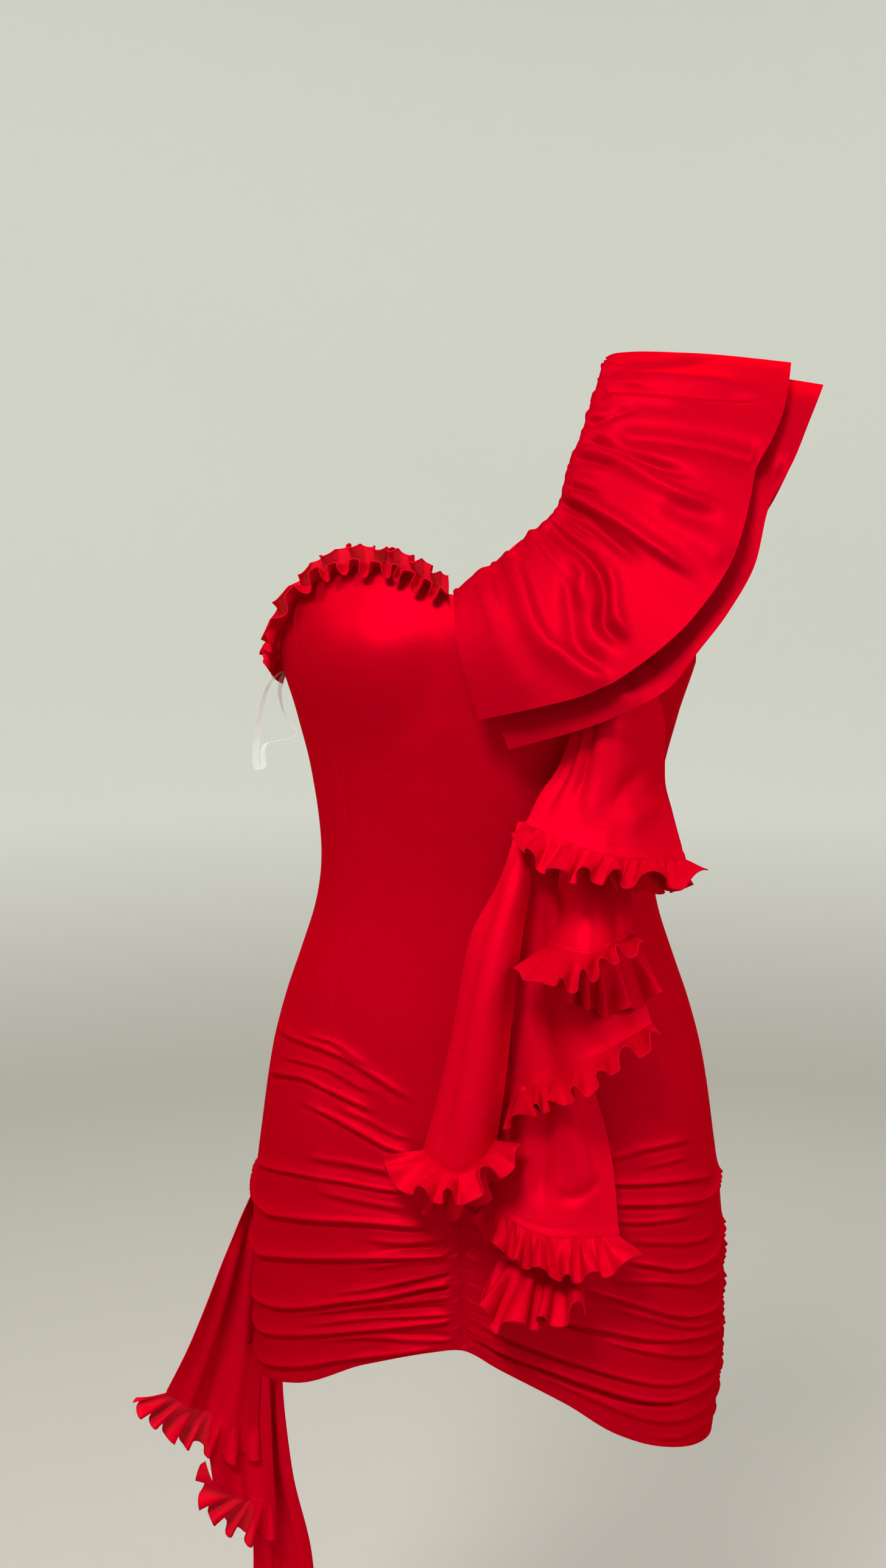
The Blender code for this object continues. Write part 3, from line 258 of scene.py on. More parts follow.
# Creases of the ruched skirt. Each row has its height (mm; below 0 for a sharp trough), its width above and
# below its line (mm), the degrees over which it fades in and out at its two ends, and then its line as
# angle and depth below the waist (tenths of a mm).
CREASES = (
    # front, wearer's right
    (2.6, 8, 4, 6, 12, -76, 1233, -65, 1236, -58, 1240, -47, 1275, -34.4, 1385, -26.6, 1465, -17, 1565),
    (1.6, 5, 3, 5, 10, -61, 1178, -51, 1185, -42, 1265, -33, 1350),
    (1.8, 4.5, 3, 6, 8, -70, 1413, -60.2, 1387, -53.1, 1385, -46.3, 1421, -40.5, 1473, -32, 1530),
    (3, 6, 3.4, 5, 9, -77, 1590, -65, 1519, -58.3, 1500, -52.3, 1525, -44.7, 1569, -39.1, 1606, -31, 1672),
    (3.2, 6.5, 3.4, 9, 7, -60, 1675, -50.4, 1712, -43.9, 1759, -36.6, 1819, -29.2, 1883, -17, 1940),
    (1.5, 4, 3, 7, 7, -47, 1650, -35.1, 1718, -26.6, 1787, -17, 1830),
    (2.6, 8, 5, 8, 12, -57, 2082, -47.7, 2060, -41.6, 2053, -33.6, 2062, -16, 2080),
    (3, 6, 2.8, 4, 14, -79, 2332, -67.3, 2268, -59, 2231, -50.1, 2211, -41.5, 2201, -33.6, 2207, -14, 2216),
    (2.2, 7, 4.5, 8, 12, -54, 2312, -43.1, 2320, -33.5, 2326, -14, 2345),
    (4.2, 9, 3.6, 0, 10, -90, 2425, -82, 2555, -76, 2620, -69.8, 2629, -60.2, 2580, -53.1, 2545, -41.3, 2495,
     -30.9, 2471, -9, 2455),
    (2, 6, 4, 12, 4, -40, 2622, -23.6, 2599, -14, 2567, -3.2, 2518),
    (4, 8, 3.4, 0, 5, -90, 2890, -83, 2990, -74.3, 3010, -63.4, 2920, -50.2, 2828, -37.4, 2760, -23.7, 2708,
     -14.1, 2680, -3.2, 2640),
    (-2.6, 2.6, 2, 16, 3, -36, 2705, -27.4, 2676, -18.9, 2645, -10.1, 2622, -3.6, 2600),
    (1.8, 6, 4, 12, 4, -40, 2860, -33.2, 2821, -19.1, 2733, -3.2, 2668),
    (2.4, 5, 3, 14, 4, -50, 3120, -42.5, 3055, -28, 2941, -14.4, 2850, -3.2, 2776),
    (-2.4, 2.4, 2, 12, 3, -34, 3020, -20.4, 2915, -11.4, 2850, -3.6, 2804),
    (3.8, 7, 3.2, 0, 5, -90, 3230, -85, 3370, -79.9, 3430, -71.1, 3390, -64.5, 3340, -55.5, 3250, -42.7, 3125,
     -32, 3052, -20.5, 2969, -12.5, 2918, -3.2, 2876),
    (-2, 2.2, 1.8, 12, 3, -28, 3035, -20.6, 2996, -12.6, 2948, -3.6, 2912),
    (2, 5, 3.4, 12, 4, -62, 3372, -47.2, 3230, -34, 3125, -14.7, 3029, -3.2, 2982),
    (-2.8, 2.6, 2.2, 14, 3, -48, 3275, -44.8, 3249, -30.5, 3175, -18.9, 3121, -6, 3075),
    (3.2, 6, 3, 0, 5, -90, 3580, -84, 3650, -76.9, 3670, -67.3, 3592, -56.3, 3485, -43.5, 3375, -32.7, 3305,
     -20.1, 3240, -10.9, 3195, -3.2, 3160),
    (2, 4.5, 3, 12, 4, -60, 3450, -44.9, 3300, -32.5, 3215, -14.9, 3150, -3.2, 3112),
    (1.8, 5, 3.4, 14, 4, -56, 3530, -34.8, 3387, -15.3, 3352, -3.2, 3312),
    (-1.8, 2.2, 1.8, 10, 3, -34, 3352, -29.1, 3343, -15.2, 3315, -4.5, 3290),
    (3.4, 5.5, 3.4, 0, 9, -90, 3850, -82, 3915, -74.5, 3908, -66.1, 3835, -56.3, 3730, -48.6, 3640,
     -40.7, 3570, -25.6, 3475, -9.1, 3400),
    (1.6, 4, 3, 0, 12, -90, 4060, -75, 4035, -62, 3900),
    # front, wearer's left
    (2.4, 6, 3.6, 6, 7, 40, 1970, 49.1, 1925, 53.9, 1905, 58.9, 1882, 65.3, 1880, 74, 1905),
    (1.4, 4, 3, 5, 6, 56, 2030, 63.6, 2013, 73, 2011),
    (3.2, 6, 3.2, 5, 6, 40, 2095, 48.6, 2111, 55.4, 2130, 61.4, 2146, 71.4, 2185, 82, 2252),
    (3.2, 6, 3.2, 5, 0, 40, 2250, 49.7, 2266, 55.2, 2281, 61, 2305, 69.2, 2339, 76.5, 2368, 82, 2370,
     90, 2320),
    (2.2, 5, 3.4, 5, 7, 40, 2380, 50.5, 2396, 56.8, 2421, 62.6, 2432, 73, 2455),
    (1.8, 6, 4, 8, 8, 50, 2530, 62.5, 2600, 69.3, 2643, 76.4, 2666, 84, 2640),
    (3.2, 6, 3, 8, 0, 50, 2680, 59.7, 2756, 63.8, 2803, 68.7, 2837, 73.6, 2847, 80, 2835, 90, 2720),
    (2.8, 6, 3.2, 8, 0, 46, 2830, 55.4, 2863, 61, 2890, 66.9, 2941, 72.2, 2986, 79, 2995, 90, 2900),
    (3, 5.5, 3, 10, 0, 36, 2850, 43.3, 2900, 52.9, 3003, 58.6, 3078, 64.4, 3160, 69.3, 3214, 74.2, 3244,
     81, 3262, 90, 3155),
    (2, 4, 2.6, 8, 0, 48, 3040, 57.6, 3141, 63.4, 3222, 69.5, 3301, 74.5, 3341, 90, 3390),
    (2.8, 6, 3, 10, 0, 20, 3000, 29.9, 3084, 36.2, 3135, 43.9, 3192, 51.1, 3242, 59.1, 3318, 66.6, 3375,
     74.6, 3420, 83.5, 3472, 90, 3455),
    (-2, 2.4, 2, 10, 8, 18, 3050, 30, 3122, 36.2, 3169, 44.1, 3243, 51.3, 3307, 57.6, 3363, 65, 3412),
    (2.6, 5.5, 3.2, 8, 0, 46, 3290, 54.8, 3369, 62.8, 3457, 70.1, 3529, 75.8, 3571, 82.3, 3585, 90, 3540),
    (2.8, 6, 3, 6, 0, 6, 3180, 18, 3281, 28.2, 3359, 36.8, 3436, 44.7, 3510, 50.8, 3573, 57.2, 3640,
     63.4, 3702, 70.6, 3740, 79, 3735, 90, 3650),
    (-1.8, 2.2, 1.8, 8, 8, 10, 3235, 18.1, 3307, 28.3, 3394, 36.9, 3468, 44.8, 3542, 52, 3615, 60, 3710),
    (3, 6.5, 3, 6, 0, 8, 3330, 20.6, 3435, 35.7, 3550, 42.5, 3622, 48.7, 3684, 54.7, 3754, 59.2, 3802,
     64.9, 3850, 70.9, 3873, 79, 3868, 90, 3800),
    (-2.6, 2.2, 1.8, 4, 8, 3.7, 3340, 20.7, 3472, 30, 3540, 35.8, 3593, 42.6, 3666, 48.8, 3728, 54.8, 3800,
     58.2, 3834, 63.8, 3880, 69.1, 3912, 76, 3925),
    (2, 7, 4.5, 10, 0, 26, 3560, 35.9, 3635, 45.3, 3744, 53.8, 3866, 60.8, 3965, 66.6, 4020, 74, 4043,
     90, 3990),
    (1.4, 4, 3, 8, 0, 60, 4100, 72, 4190, 90, 4180),
    # back, from the wearer's left side to the right side
    (2.2, 7, 4, 8, 10, 100, 1820, 120, 1880, 146, 1905, 168, 1870),
    (2.4, 7, 4, 6, 12, 96, 2060, 112, 2160, 135, 2230, 160, 2225),
    (2.2, 7, 4, 12, 8, 196, 2130, 225, 2115, 250, 2060, 264, 2010),
    (3.4, 7, 3.4, 0, 0, 90, 2320, 104, 2450, 125, 2520, 155, 2560, 190, 2555, 225, 2530, 255, 2530,
     270, 2425),
    (3, 6, 3.2, 0, 14, 90, 2720, 104, 2850, 125, 2930, 150, 2965, 172, 2960),
    (3.6, 7, 3.4, 0, 0, 90, 2900, 105, 3040, 130, 3110, 162, 3150, 200, 3110, 240, 3040, 258, 3010,
     270, 2890),
    (2.4, 6, 3.4, 14, 8, 186, 2830, 215, 2810, 245, 2750, 262, 2690),
    (3.4, 7, 3.2, 0, 0, 90, 3155, 104, 3280, 130, 3350, 160, 3390, 195, 3400, 230, 3390, 256, 3370,
     270, 3230),
    (2.4, 5, 3, 0, 16, 90, 3390, 110, 3500, 140, 3565, 172, 3590),
    (3.6, 6, 3, 0, 0, 90, 3540, 106, 3660, 134, 3720, 168, 3745, 205, 3740, 240, 3690, 258, 3650, 270, 3580),
    (2.4, 5, 3, 12, 6, 198, 3570, 225, 3560, 250, 3510, 266, 3470),
    (2.8, 5.5, 3, 0, 14, 90, 3650, 108, 3790, 138, 3860, 170, 3900),
    (3.2, 6, 3, 0, 0, 90, 3800, 108, 3930, 135, 3990, 165, 4010, 205, 4000, 240, 3960, 258, 3925, 270, 3850),
    (2, 5, 3.4, 0, 0, 90, 3990, 115, 4110, 150, 4160, 195, 4155, 235, 4110, 255, 4080, 270, 4060),
)
CREASE_STRENGTH = 1.12
# Section of a crease: width of its crest and its drop, and depth, distance and width of the dip below it
CREST, DROP = 0.28, 0.52
DIP = (0.34, 1.15, 0.55)
# Side seams catch the creases: radius, share taken and width, dip and width, heights of setting in
SIDE_RADIUS = 0.18
SIDE_HOLD = (0.55, 0.0035)
SIDE_DIP = (0.0012, 0.0022)
SIDE_ZONE = (-0.20, -0.165)
# The shirred channel of the centre front, and the small gathers beside it
CHANNEL_ANGLE = 0.3
CHANNEL_RADIUS = 0.108
CHANNEL_TOP = -0.185
CHANNEL_BOTTOM = -0.338
CHANNEL_ZONE = (CHANNEL_BOTTOM - 0.004, CHANNEL_BOTTOM + 0.004, CHANNEL_TOP, CHANNEL_TOP + 0.02)
CHANNEL_HALF_WIDTH = 0.0042
CHANNEL_DIP_WIDTH = CHANNEL_HALF_WIDTH * 1.3
CHANNEL_DEPTH = 0.0022
CHANNEL_HOLD = 0.8
CHANNEL_GATHERS = 34
CHANNEL_GATHER_STRAY = 0.7
CHANNEL_GATHER_SPANS = ((0.55, 1.25), (0.0016, 0.0026), (7.0, 17.0), (-0.25, 0.35))
CHANNEL_GATHER_HEIGHT = 0.0013
CHANNEL_GATHER_DROOP = 0.0006
CHANNEL_GATHER_START = 2.6
CHANNEL_GATHER_INSIDE = 0.25
CHANNEL_GATHER_ON_RIGHT = 0.8
HEM_CALM = 0.006
# Princess and side seams above the ruching: top and bottom, the groove's depth and width, and its lip's
# height, distance and width
PRINCESS_GROOVE = (0.24, -0.128)
SIDE_GROOVE = (0.17, -0.20)
GROOVE = (0.00035, 0.0011)
GROOVE_LIP = (0.00012, 0.003, 0.0018)
GROOVE_ARC = 0.85
GROOVE_FADE = 0.012
GROOVE_TOP_FADE = 0.02

# Thickness of the cloths, and how high pieces are seated on others
BODY_CLOTH = 0.0009
COLLAR_CLOTH = 0.0008
FLOUNCE_CLOTH = 0.0008
FRILL_CLOTH = 0.0006
ELASTIC_BAND = 0.0007
SEAT = 0.0012
SECOND_ROW_BEHIND = 0.0018

# Seam of the collar: share of its front half, angle, run
COLLAR_SEAM = (
    (0.00, -4.0, 0.2085), (0.14, 8.6, 0.2245), (0.315, 26.0, 0.247), (0.484, 38.5, 0.269),
    (0.624, 43.3, 0.297), (0.76, 45.8, 0.335), (0.89, 47.6, 0.380), (1.00, 48.6, 0.430),
)
# Free edges of its two layers: share, x, out and height, all in ten-thousandths
COLLAR_TOP_EDGE = (
    (0, 153, 1350, 1243), (1200, 584, 1500, 1344), (2300, 945, 1550, 1450), (3500, 1280, 1530, 1660),
    (4600, 1580, 1450, 1940), (6100, 1845, 1300, 2370), (7100, 1932, 1100, 2720), (7800, 1965, 960, 2915),
    (8500, 2080, 800, 3150), (9100, 2160, 600, 3380), (9500, 2190, 420, 3560), (9800, 2210, 200, 3720),
    (10000, 2215, 0, 3760),
)
COLLAR_UNDER_EDGE = (
    (0, 347, 1270, 1038), (1500, 872, 1400, 1198), (2300, 1145, 1430, 1310), (3300, 1435, 1380, 1479),
    (4200, 1617, 1330, 1719), (5050, 1798, 1240, 1963), (6150, 1976, 1080, 2301), (7200, 2057, 920, 2669),
    (7800, 2150, 810, 2850), (8400, 2240, 680, 3040), (9100, 2330, 480, 3280), (9600, 2410, 250, 3490),
    (10000, 2450, 0, 3600),
)
# Layers: node, free edge, lift off the body, arch, strength of the folds, seed of the seam gathers
COLLAR_LAYERS = (
    ("collar_ruffle_under", COLLAR_UNDER_EDGE, 0.0010, 0.008, 0.55, 3),
    ("collar_ruffle_top", COLLAR_TOP_EDGE, 0.0032, 0.012, 1.0, 5),
)
COLLAR_ARCH_AT_SHOULDER = 0.4
COLLAR_ARCH_SKEW = 0.75
SHOULDER_WAY = (0.7, 1.0)
COLLAR_BACK_SHARE = 0.95
# Folds of the collar: height (mm; below 0 for a trough), width below and above the line (mm), the shares
# of its length over which it fades in and out, and then its line as share and way from the seam to the
# edge, both in thousandths
COLLAR_FOLDS = (
    (4.5, 10, 5, 0.05, 0.1, 235, 20, 230, 100, 210, 330, 195, 530, 200, 670, 220, 750, 250, 920, 275, 1000),
    (-3.5, 6, 7, 0.3, 0.2, 365, 270, 285, 550, 250, 750, 265, 870, 270, 980),
    (3, 4, 5, 0.3, 0.3, 385, 200, 375, 420, 340, 480, 300, 600),
    (-6, 5, 5, 0.05, 0.2, 400, 30, 395, 200, 398, 350, 395, 470, 370, 600, 325, 720, 330, 830, 335, 930),
    (3.4, 4, 5, 0.25, 0.25, 425, 420, 405, 550, 370, 680, 355, 780, 360, 880),
    (-3, 3, 3, 0.1, 0.4, 440, 30, 445, 200, 450, 380),
    (-5, 5, 4, 0.05, 0.35, 470, 20, 490, 250, 485, 430, 478, 540, 475, 660),
    (-3, 2.5, 2.5, 0.05, 0.4, 502, 20, 510, 180, 505, 340),
    (5, 3.2, 7, 0.05, 0.25, 525, 30, 530, 230, 530, 420, 525, 600, 525, 780, 530, 920),
    (-3.8, 2.6, 3, 0.05, 0.5, 555, 30, 568, 150, 574, 280),
    (2.8, 4, 4, 0.1, 0.5, 615, 30, 620, 120, 624, 260),
    (2.6, 11, 11, 0.4, 0.1, 600, 300, 598, 550, 590, 800, 588, 1000),
    (-2.6, 9, 9, 0.3, 0.3, 612, 560, 628, 720, 645, 900),
    (-3, 3, 2.6, 0.1, 0.4, 646, 30, 650, 160, 648, 300),
    (5.5, 7, 3.2, 0.05, 0.3, 680, 30, 675, 220, 665, 380, 655, 530, 655, 650, 668, 820, 680, 940),
    (-5.6, 3.4, 5, 0.1, 0.35, 702, 40, 696, 250, 690, 420, 694, 580, 704, 740),
    (-4, 3.4, 3.4, 0.05, 0.4, 742, 30, 762, 120, 786, 200, 806, 300),
    (-7, 10, 9, 0.2, 0.05, 728, 140, 738, 280, 768, 550, 790, 740, 806, 980),
    (3.4, 5, 3, 0.1, 0.4, 812, 60, 828, 280, 848, 460, 866, 600),
    (-4.6, 4, 6, 0.05, 0.25, 824, 30, 844, 170, 864, 430, 900, 770, 915, 950),
    (3, 8, 8, 0.2, 0.3, 880, 100, 900, 400, 935, 800),
    (-3.2, 6, 6, 0.05, 0.4, 868, 20, 900, 90, 918, 250, 950, 450, 975, 660),
    (1.6, 12, 12, 0.2, 0.2, 120, 50, 110, 500, 110, 1000),
    (-1.8, 7, 7, 0.1, 0.6, 165, 30, 160, 250, 150, 500),
)
# The back half's folds: their strength and width against the front's, and how far and fast they stray
BACK_FOLD_STRENGTH, BACK_FOLD_WIDTH = 0.85, 1.1
BACK_FOLD_STRAY, BACK_FOLD_STRAY_RATE = 0.02, 9
FOLDS_START = (-0.02, 0.06)
GATHERS_START = (-0.01, 0.04)
COLLAR_SEAM_GATHERS = 64
SEAM_GATHER_STRAY = 0.6
SEAM_GATHER_SPANS = ((0.0008, 0.0030), (0.0022, 0.0046), (0.07, 0.34))
SEAM_PUFF = 1.1
SEAM_PUFF_WIDTH = 1.2
SEAM_PUFF_REACH = 0.045

# How far the waves, gathers, depths, bulges and lengths of a frill stray from even ones, and its depth at
# its two ends
WAVE_STRAY, GATHER_STRAY = 1.1, 0.30
DEPTH_CHANGE, BULGE_CHANGE, LENGTH_CHANGE = 0.30, 0.35, 0.08
DEPTH_AT_ENDS = 0.45
# Bulges of its seam: their roundness, the level that divides them from the dips between, the share of them
# at the seam itself, the share lost towards the free edge, and where across the frill they rise and fall
PUFF_ROUNDNESS, PUFF_LEVEL = 0.8, 0.55
PUFF_AT_SEAM, PUFF_LOST = 0.12, 0.85
PUFF_RISES, PUFF_FALLS = (0.0, 0.22), (0.25, 0.9)
# Its waves: how they grow towards the free edge, the second wave in them, the greatest loop, and how much
# their swing shortens the strip, down to the shortest share
SWING_POWER, SECOND_WAVE, LOOP_LIMIT = 1.15, 0.20, 1.1
SWING_SHORTENS, SHORTEST_DROP = 0.5, 0.66
FRILL_LEAN = 0.18
NECKLINE_SEED, FLOUNCE_SEED, TRAIN_SEED = 40, 50, 80

NECKLINE_WIDTH = 0.0165
NECKLINE_ANGLES = (-6.5, -173.5)
# Rows of the neckline frill: node, rise and lean of its free edge, lift off the body, drop of its seam
# below the edge, waves and their depth
NECKLINE_FRILLS = (
    ("neckline_frill_upper", 0.78, 0.46, 0.0004, 0.0026, 22, 0.0060),
    ("neckline_frill_lower", -0.30, 0.66, 0.0010, 0.0014, 26, 0.0054),
)

# Folds of the flounce. Each has the number of its rows that are seated on the body, the number of its
# ripples and their depth, and how far its left and its right edge turn back (x and y in mm). Then come its
# creases, as the collar's but with the line as shares across and down, and its rows from the top down: x,
# height and out of the left edge, the middle and the right edge, in tenths of a mm.
FLOUNCE_FOLDS = (
    (3, 1, 0.0015, ((3, 16), (-3, 24)), (
        (-2.6, 2.2, 2.6, 0.15, 0.25, 130, 160, 110, 550, 90, 980),
        (2, 3, 3, 0.15, 0.25, 200, 160, 180, 550, 160, 960),
        (-2.8, 2.6, 3, 0.15, 0.3, 290, 140, 270, 500, 240, 920),
        (3, 5, 14, 0.15, 0.2, 380, 140, 370, 500, 360, 950),
        (-3, 8, 6, 0.3, 0.3, 450, 880, 620, 720, 840, 620),
        (2, 8, 8, 0.3, 0.3, 600, 900, 760, 820, 920, 780),
    ), (
        (860, 1680, 0, 1070, 1680, 0, 1280, 1660, 0), (850, 1590, 0, 1070, 1590, 0, 1290, 1570, 0),
        (830, 1500, 0, 1070, 1500, 0, 1300, 1480, 0), (760, 1220, 1250, 1050, 1200, 1290, 1400, 1150, 860),
        (640, 900, 1280, 1040, 850, 1340, 1410, 800, 880), (520, 720, 1330, 1030, 600, 1400, 1470, 560, 940),
        (430, 520, 1390, 1010, 360, 1480, 1570, 240, 1070),
    )),
    (1, 1, 0.0015, ((2, 14), (-2, 16)), (
        (3, 12, 12, 0.2, 0, 450, 200, 450, 600, 450, 1000),
        (-2, 5, 5, 0.2, 0, 800, 100, 820, 600, 840, 1000),
    ), (
        (720, 460, 0, 840, 460, 0, 960, 460, 0), (670, 140, 1080, 890, 120, 1130, 1120, 140, 960),
        (630, -90, 1170, 900, -120, 1240, 1190, -60, 1020),
        (590, -340, 1280, 900, -360, 1360, 1200, -280, 1120),
    )),
    (1, 2, 0.002, ((2, 8), (-3, 18)), (
        (-5, 9, 9, 0.15, 0, 300, 80, 280, 500, 260, 1000),
        (3.4, 9, 12, 0.2, 0, 620, 150, 640, 550, 660, 1000),
    ), (
        (450, 340, 0, 530, 340, 0, 610, 340, 0), (400, -100, 1040, 600, -100, 1080, 800, -100, 1040),
        (350, -500, 1080, 680, -480, 1120, 1040, -440, 1030),
        (330, -920, 1120, 780, -780, 1180, 1250, -660, 1040),
        (340, -1440, 1180, 890, -1130, 1250, 1360, -920, 1120),
    )),
    (1, 1, 0.0015, ((5, 18), (-3, 18)), (
        (-3, 9, 9, 0.2, 0.1, 300, 140, 260, 500, 240, 980),
        (5, 14, 12, 0.15, 0, 620, 100, 660, 500, 680, 1000),
    ), (
        (370, 500, 0, 420, 500, 0, 470, 500, 0), (290, 150, 1130, 390, 170, 1190, 480, 190, 1130),
        (60, -280, 1250, 260, -280, 1350, 440, -260, 1270),
        (-40, -710, 1330, 180, -710, 1450, 410, -670, 1360),
        (-130, -1120, 1380, 120, -1140, 1510, 380, -1060, 1420),
        (-240, -1590, 1410, 50, -1610, 1550, 340, -1460, 1450),
        (-310, -1840, 1420, 0, -1900, 1560, 300, -1720, 1460),
    )),
    (2, 1, 0.0015, ((2, 10), (-3, 14)), (
        (5.5, 9, 7, 0.15, 0.25, 660, 60, 700, 400, 760, 720, 820, 920),
        (-3.5, 8, 7, 0.2, 0.2, 460, 120, 440, 500, 400, 900),
        (3, 7, 7, 0.2, 0.25, 240, 150, 260, 550, 340, 920),
        (-2.4, 4, 4, 0.3, 0.3, 520, 800, 700, 840, 920, 800),
    ), (
        (320, -1040, 0, 540, -1000, 0, 760, -960, 0), (310, -1220, 0, 580, -1180, 0, 850, -1120, 0),
        (290, -1500, 1140, 620, -1460, 1190, 950, -1400, 1090),
        (260, -1860, 1190, 650, -1800, 1230, 1050, -1710, 1140),
        (210, -2060, 1220, 650, -2080, 1290, 1110, -1980, 1200),
        (170, -2230, 1270, 650, -2370, 1380, 1160, -2400, 1310),
    )),
    (1, 2, 0.001, ((1, 5), (-1, 8)), (
        (2.5, 6, 6, 0.2, 0, 300, 200, 250, 1000),
        (-2.5, 5, 5, 0.2, 0, 600, 200, 580, 1000),
    ), (
        (300, -2220, 0, 500, -2220, 0, 700, -2220, 0), (290, -2430, 1160, 530, -2440, 1190, 800, -2440, 1150),
        (280, -2620, 1200, 560, -2650, 1250, 880, -2650, 1200),
    )),
)
FOLD_COLUMNS = 56
FOLD_ROWS = 64
RIPPLES_START = 0.25
CREASES_START = (0.03, 0.15)
RETURN_START, RETURN_FULL = 0.10, 0.75
RETURN_POWER = 3.0
# The seam above a frill: height, place above the hem and width of its turned lip, and of its stitches
HEM_LIP = (0.0011, 0.0014, 0.0012)
LIP_STITCHES = (0.0007, 0.0038, 0.0009)

# Frills of the flounce: fold, row, columns of the mesh, and its form: waves of the free edge, their depth,
# gathers at the seam, their bulge, and how far the waves close into loops, scallop their edge and crowd
# together. Then the free edge as share, x, height and out, all in thousandths.
FLOUNCE_FRILLS = (
    (1, "a", 306, (6, 0.0062, 14, 0.003, 0.05, -0.1, 1), (
        (0, 34, 44, 137), (80, 46, 36, 150), (250, 65, 25, 159), (510, 98, 23, 165), (760, 129, 19, 159),
        (920, 152, 17, 140), (1000, 169, 18, 118),
    )),
    (1, "b", 170, (5, 0.006, 8, 0.0014, 0.06, -0.05, 1), (
        (400, 99, 16, 134), (650, 127, 8, 127), (850, 146, 3, 114), (1000, 160, 5, 96),
    )),
    (2, "a", 204, (5, 0.0056, 5, 0.0006, 0.03, -0.04, 1.6), (
        (0, 38, -46, 154), (120, 52, -45, 163), (360, 76, -52, 168), (600, 96, -43, 168),
        (800, 113, -30, 163), (1000, 131, -26, 152),
    )),
    (2, "b", 204, (5, 0.0062, 6, 0.001, 0.05, -0.05, 1.2), (
        (50, 64, -62, 120), (310, 81, -72, 129), (700, 107, -78, 126), (1000, 144, -68, 106),
    )),
    (3, "a", 272, (7, 0.006, 6, 0.0004, 0.06, 0, 0.75), (
        (0, 30, -162, 136), (140, 55, -146, 146), (320, 74, -138, 150), (480, 92, -125, 156),
        (700, 113, -107, 157), (1000, 143, -93, 140),
    )),
    (4, "a", 272, (5, 0.008, 8, 0.001, 0.07, -0.04, 1), (
        (0, -58, -188, 148), (160, -43, -199, 161), (350, -23, -198, 170), (580, 3, -199, 174),
        (800, 26, -186, 171), (1000, 52, -173, 152),
    )),
    (4, "b", 204, (5, 0.0072, 8, 0.001, 0.06, -0.05, 1), (
        (0, -47, -210, 130), (350, -21, -220, 138), (700, 7, -218, 138), (1000, 32, -202, 128),
    )),
    (5, "a", 272, (6, 0.0064, 11, 0.0032, 0.05, -0.1, 1), (
        (0, 7, -233, 130), (170, 29, -248, 142), (420, 57, -257, 149), (710, 89, -260, 152),
        (910, 117, -256, 145), (1000, 134, -251, 132),
    )),
    (6, "a", 170, (4, 0.0105, 4, 0.001, 0.1, -0.1, 1), (
        (0, 14, -284, 138), (300, 32, -298, 148), (650, 62, -296, 151), (1000, 92, -286, 148),
    )),
)

# Folds of the train, as those of the flounce, from the outer edge to the inner edge
TRAIN_FOLDS = (
    (1, 1, 0.004, ((6, -16), (-3, 20)), (
        (4, 6, 6, 0.2, 0, 300, 120, 280, 500, 250, 1000),
        (-3, 5, 5, 0.2, 0, 520, 120, 500, 500, 480, 1000),
        (3.5, 6, 6, 0.2, 0, 740, 120, 740, 500, 740, 1000),
    ), (
        (-1900, -2630, 120, -1900, -2640, 30, -1900, -2650, -60),
        (-2094, -3160, 80, -1990, -3180, -20, -1880, -3200, -120),
        (-2273, -3590, 120, -2080, -3640, -40, -1885, -3680, -120),
        (-2465, -4020, 140, -2190, -4120, -40, -1915, -4200, -120),
        (-2640, -4360, 120, -2320, -4680, 0, -1945, -4870, -60),
    )),
    (1, 1, 0.004, ((4, -12), (-3, 14)), (
        (3, 5, 5, 0.2, 0, 450, 120, 450, 600, 420, 1000),
    ), (
        (-1900, -3950, -120, -1900, -3960, -200, -1900, -3970, -280),
        (-2280, -4500, -220, -2080, -4500, -300, -1880, -4500, -300),
        (-2370, -4900, -160, -2110, -4990, -220, -1850, -5040, -220),
        (-2310, -5280, -80, -2050, -5490, -130, -1800, -5540, -120),
    )),
    (1, 2, 0.006, ((6, -18), (-4, 26)), (
        (4, 6, 6, 0.2, 0, 250, 150, 240, 600, 220, 1000),
        (-4, 5, 5, 0.2, 0, 500, 100, 500, 500, 480, 1000),
        (4, 6, 6, 0.2, 0, 760, 120, 760, 600, 760, 1000),
    ), (
        (-1850, -3850, -320, -1850, -3860, -400, -1800, -3870, -480),
        (-2050, -4500, -470, -1930, -4500, -520, -1810, -4500, -470),
        (-2060, -5400, -400, -1900, -5400, -480, -1720, -5400, -380),
        (-2060, -6200, -360, -1820, -6200, -470, -1560, -6180, -340),
        (-2180, -7100, -340, -1840, -7120, -500, -1490, -7080, -320),
        (-2320, -7720, -300, -1870, -7800, -500, -1420, -7740, -280),
    )),
)
TRAIN_COLUMNS = 44
TRAIN_ROWS = 90
# Frills of the train, as those of the flounce
TRAIN_FRILLS = (
    (204, (7, 0.008, 9, 0.0014, 0.09, 0.12, 0.85), (
        (0, -290, -446, 14), (200, -273, -464, 14), (400, -256, -486, 12), (600, -237, -500, 6),
        (800, -216, -511, 0), (1000, -195, -515, -4),
    )),
    (170, (6, 0.008, 7, 0.0014, 0.09, 0.12, 0.9), (
        (0, -241, -503, -6), (250, -242, -541, -6), (500, -226, -570, -6), (750, -204, -583, -8),
        (1000, -178, -585, -10),
    )),
    (238, (6, 0.0078, 10, 0.0014, 0.09, 0.1, 1), (
        (0, -246, -790, -24), (500, -188, -803, -52), (1000, -132, -794, -22),
    )),
)

